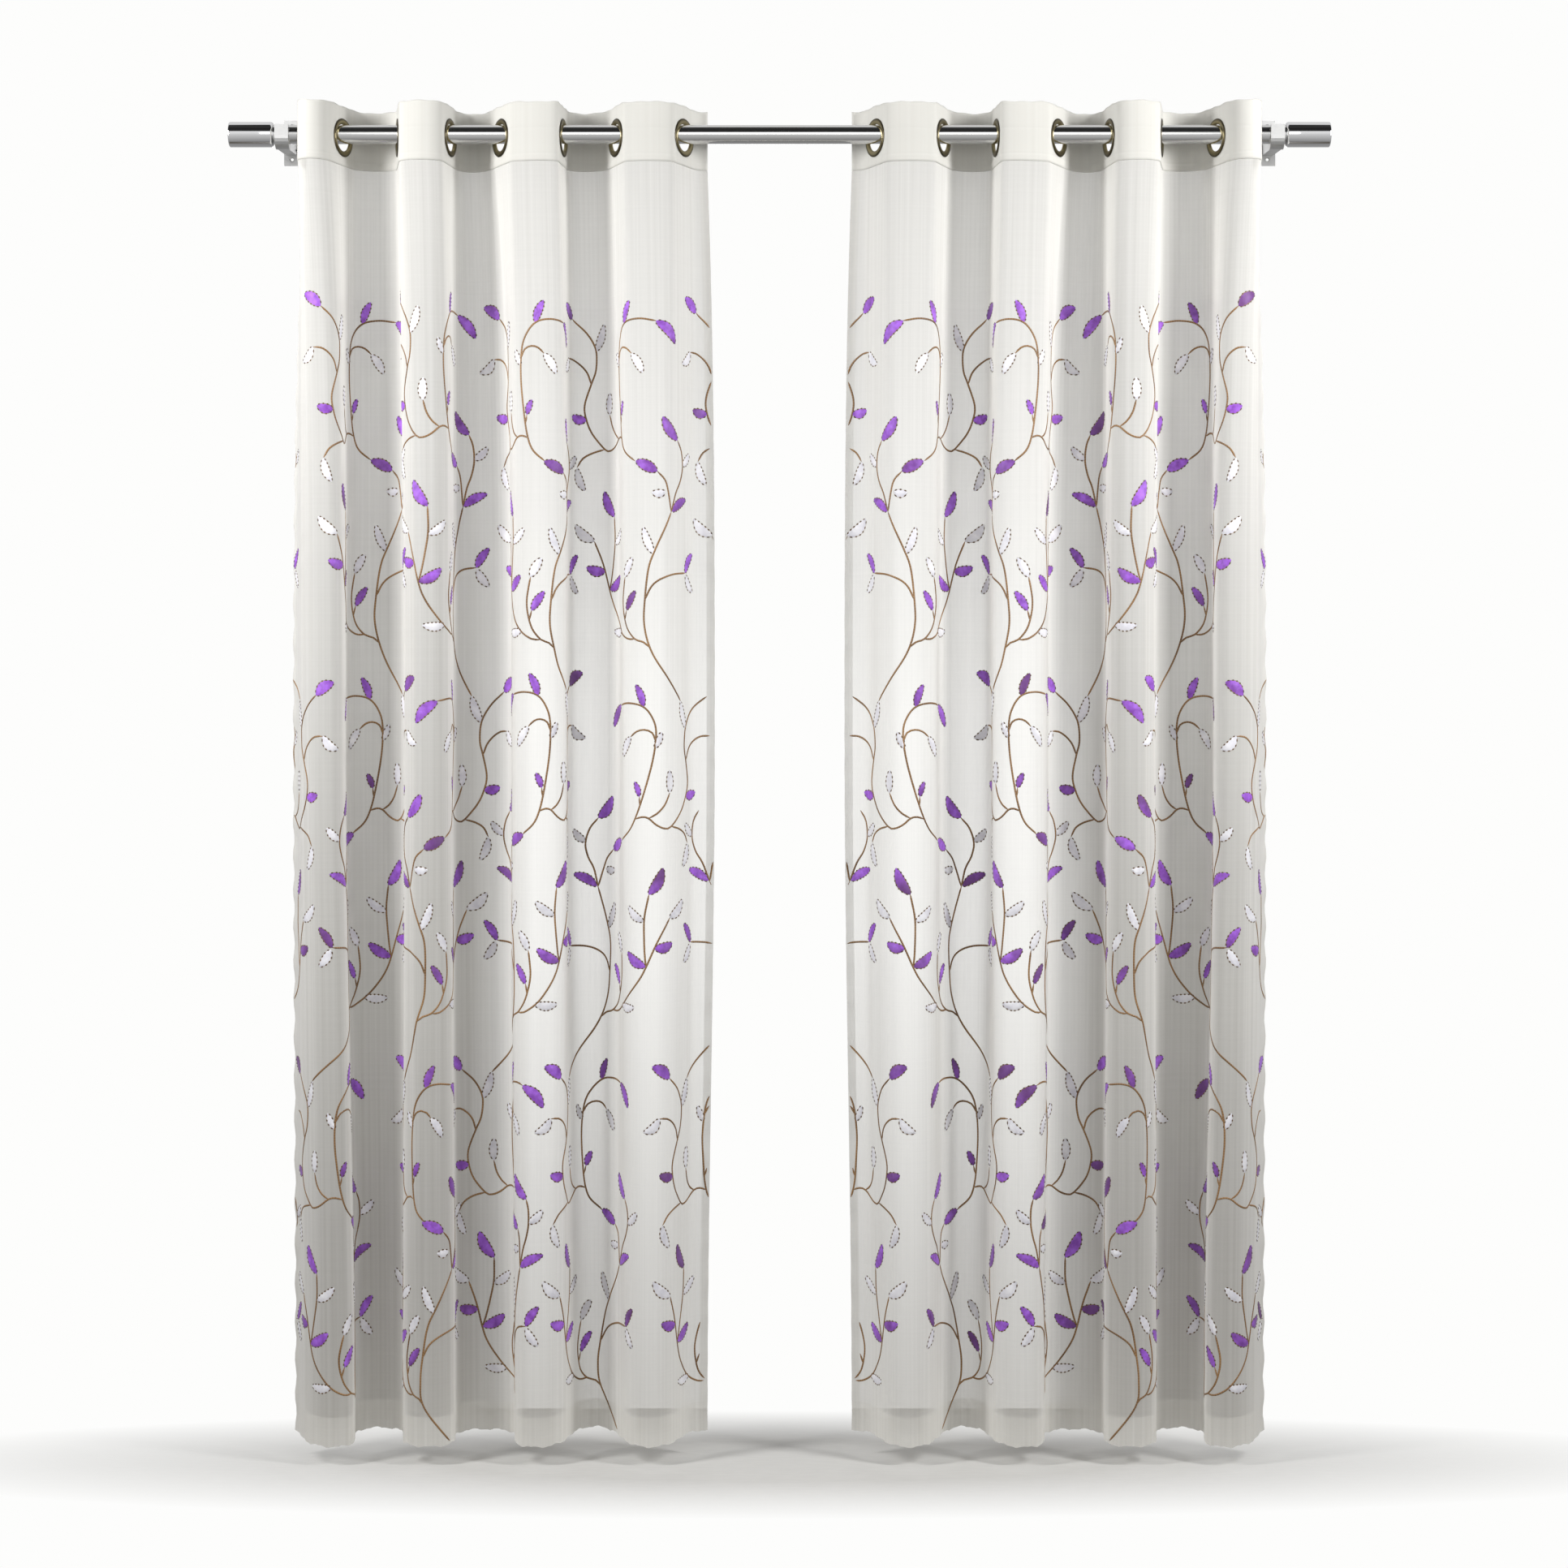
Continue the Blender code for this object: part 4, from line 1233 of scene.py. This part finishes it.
for word, side in SIDES.items():
    soft_box(f"soft_box_{word}", (side * 2.1, -1.5, 0.2), (side * 0.45, -0.1, 0.15), (0.5, 1.2), 60)
soft_box("soft_box_front", (0, -4.2, 0.2), (0, -0.1, -0.4), (2.4, 1.2), 17)
soft_box("soft_box_back", (0, 3.8, 0.1), (0, -0.1, -0.6), (2.4, 1.2), 22)
print("floor height in metres:", round(FLOOR_Z, 3))

# %% [markdown]
# ## Surroundings
# The world does four jobs. Seen directly it is a plain white backdrop. Seen through the voile it is
# a grey that gets darker towards the floor, with a pool of light behind the middle of the pair, so
# the cloth reads as white yarn over shade, brighter inwards, and not as glare. In metal it is a
# studio: pale all round, with one dark band high in front, which a round polished bar shows as its
# dark stripe. Everything else gets a weak, even light.

# %% Seen through the voile
POOL_SHARE = 0.85
POOL_LIGHT = (1.35, 1.35, 1.33, 1)

world = bpy.data.worlds.new("studio")
bpy.context.scene.world = world
world.use_nodes = True
world.node_tree.nodes.clear()
way = add(world, "SeparateXYZ", {"Vector": add(world, "TexCoord").outputs["Generated"]}).outputs
ray = add(world, "LightPath").outputs

# Greys by height, and the pool of light, faded out beside, below and above.
level = add(world, "MapRange", {"Value": way["Z"]}, From_Min=-0.22, From_Max=0.22)
shade = add(world, "ValToRGB", {"Fac": level}, stops=(
    (0.0, LOW_SHADE),
    (0.18, linear("#67635d")),
    (0.4, linear("#9a9892")),
    (0.75, linear("#c6c5c2")),
    (1.0, linear("#cccbc8")),
))
beside = add(world, "Math", {0: way["X"]}, operation="ABSOLUTE")
pool = POOL_SHARE
for source, full, none in ((beside, 0.08, 0.1), (way["Z"], -0.05, -0.28), (way["Z"], 0.02, 0.2)):
    low, high = sorted((full, none))
    edge = add(
        world, "MapRange", {"Value": source}, From_Min=low, From_Max=high,
        To_Min=float(low == full), To_Max=float(high == full),
    )
    pool = add(world, "Math", {0: pool, 1: edge}, operation="MULTIPLY")
links = {"Factor": pool, FIRST: shade, SECOND: POOL_LIGHT}
shade = add(world, "Mix", links, data_type="RGBA").outputs[MIXED]
print("nodes for what shows through the voile:", len(world.node_tree.nodes))

# %% Seen in metal, and all other light
def greys(*stops):
    """Stops of a ramp, each given as a position and a grey."""
    return [(position, (tone, tone, tone, 1)) for position, tone in stops]


# In metal: the studio in front and behind. For all other light: a weak ramp.
height = add(world, "MapRange", {"Value": way["Z"]}, From_Min=-1.0)
front = add(world, "ValToRGB", {"Fac": height}, stops=greys(
    (0.0, 0.3), (0.13, 0.5), (0.4, 0.75), (0.56, 1.0), (0.67, 0.85), (0.69, 0.03), (0.93, 0.02),
    (0.945, 0.12), (0.96, 0.02),
))
behind = add(world, "ValToRGB", {"Fac": height}, stops=greys((0.0, 0.3), (0.5, 0.5), (0.9, 0.85)))
weak = add(world, "ValToRGB", {"Fac": height}, stops=greys((0.0, 0.08), (0.5, 0.2), (1.0, 0.44)))
turn = add(world, "MapRange", {"Value": way["Y"]}, From_Min=-0.1, From_Max=0.1)
veiled = add(world, "Math", {0: ray["Transparent Depth"], 1: 1.0}, operation="MINIMUM")
links = {"Factor": turn, FIRST: front, SECOND: behind}
studio = add(world, "Mix", links, data_type="RGBA").outputs[MIXED]
links = {"Factor": veiled, FIRST: BACKDROP, SECOND: shade}
seen = add(world, "Mix", links, data_type="RGBA").outputs[MIXED]
links = {"Factor": ray["Is Glossy Ray"], FIRST: weak, SECOND: studio}
light = add(world, "Mix", links, data_type="RGBA").outputs[MIXED]
links = {"Factor": ray["Is Camera Ray"], FIRST: light, SECOND: seen}
sky = add(world, "Background", {"Color": add(world, "Mix", links, data_type="RGBA").outputs[MIXED]})
add(world, "OutputWorld", {"Surface": sky})
bpy.context.scene.view_settings.view_transform = "Standard"
print("world nodes:", len(world.node_tree.nodes))

# %% [markdown]
# ## Bodies
# The part has one body and no joints, so every piece rides on it. The pieces made here are tied to
# it, and the CAD nodes they are made again for are hidden.

for word in SIDES:
    sewn = list(embroidery[word].values())
    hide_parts(f"panel_{word}")
    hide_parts(f"heading_{word}")
    for thing in [panels[word], headings[word], *sewn]:
        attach(thing, "root")
metals = [(ring, node, "antique_brass") for node, ring in rings.items()]
metals += [(finial, f"finial_{word}", "polished_chrome") for word, finial in finials.items()]
for thing, node, slot in [*metals, (rod, "rod", "brushed_steel")]:
    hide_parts(node)
    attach(thing, "root")
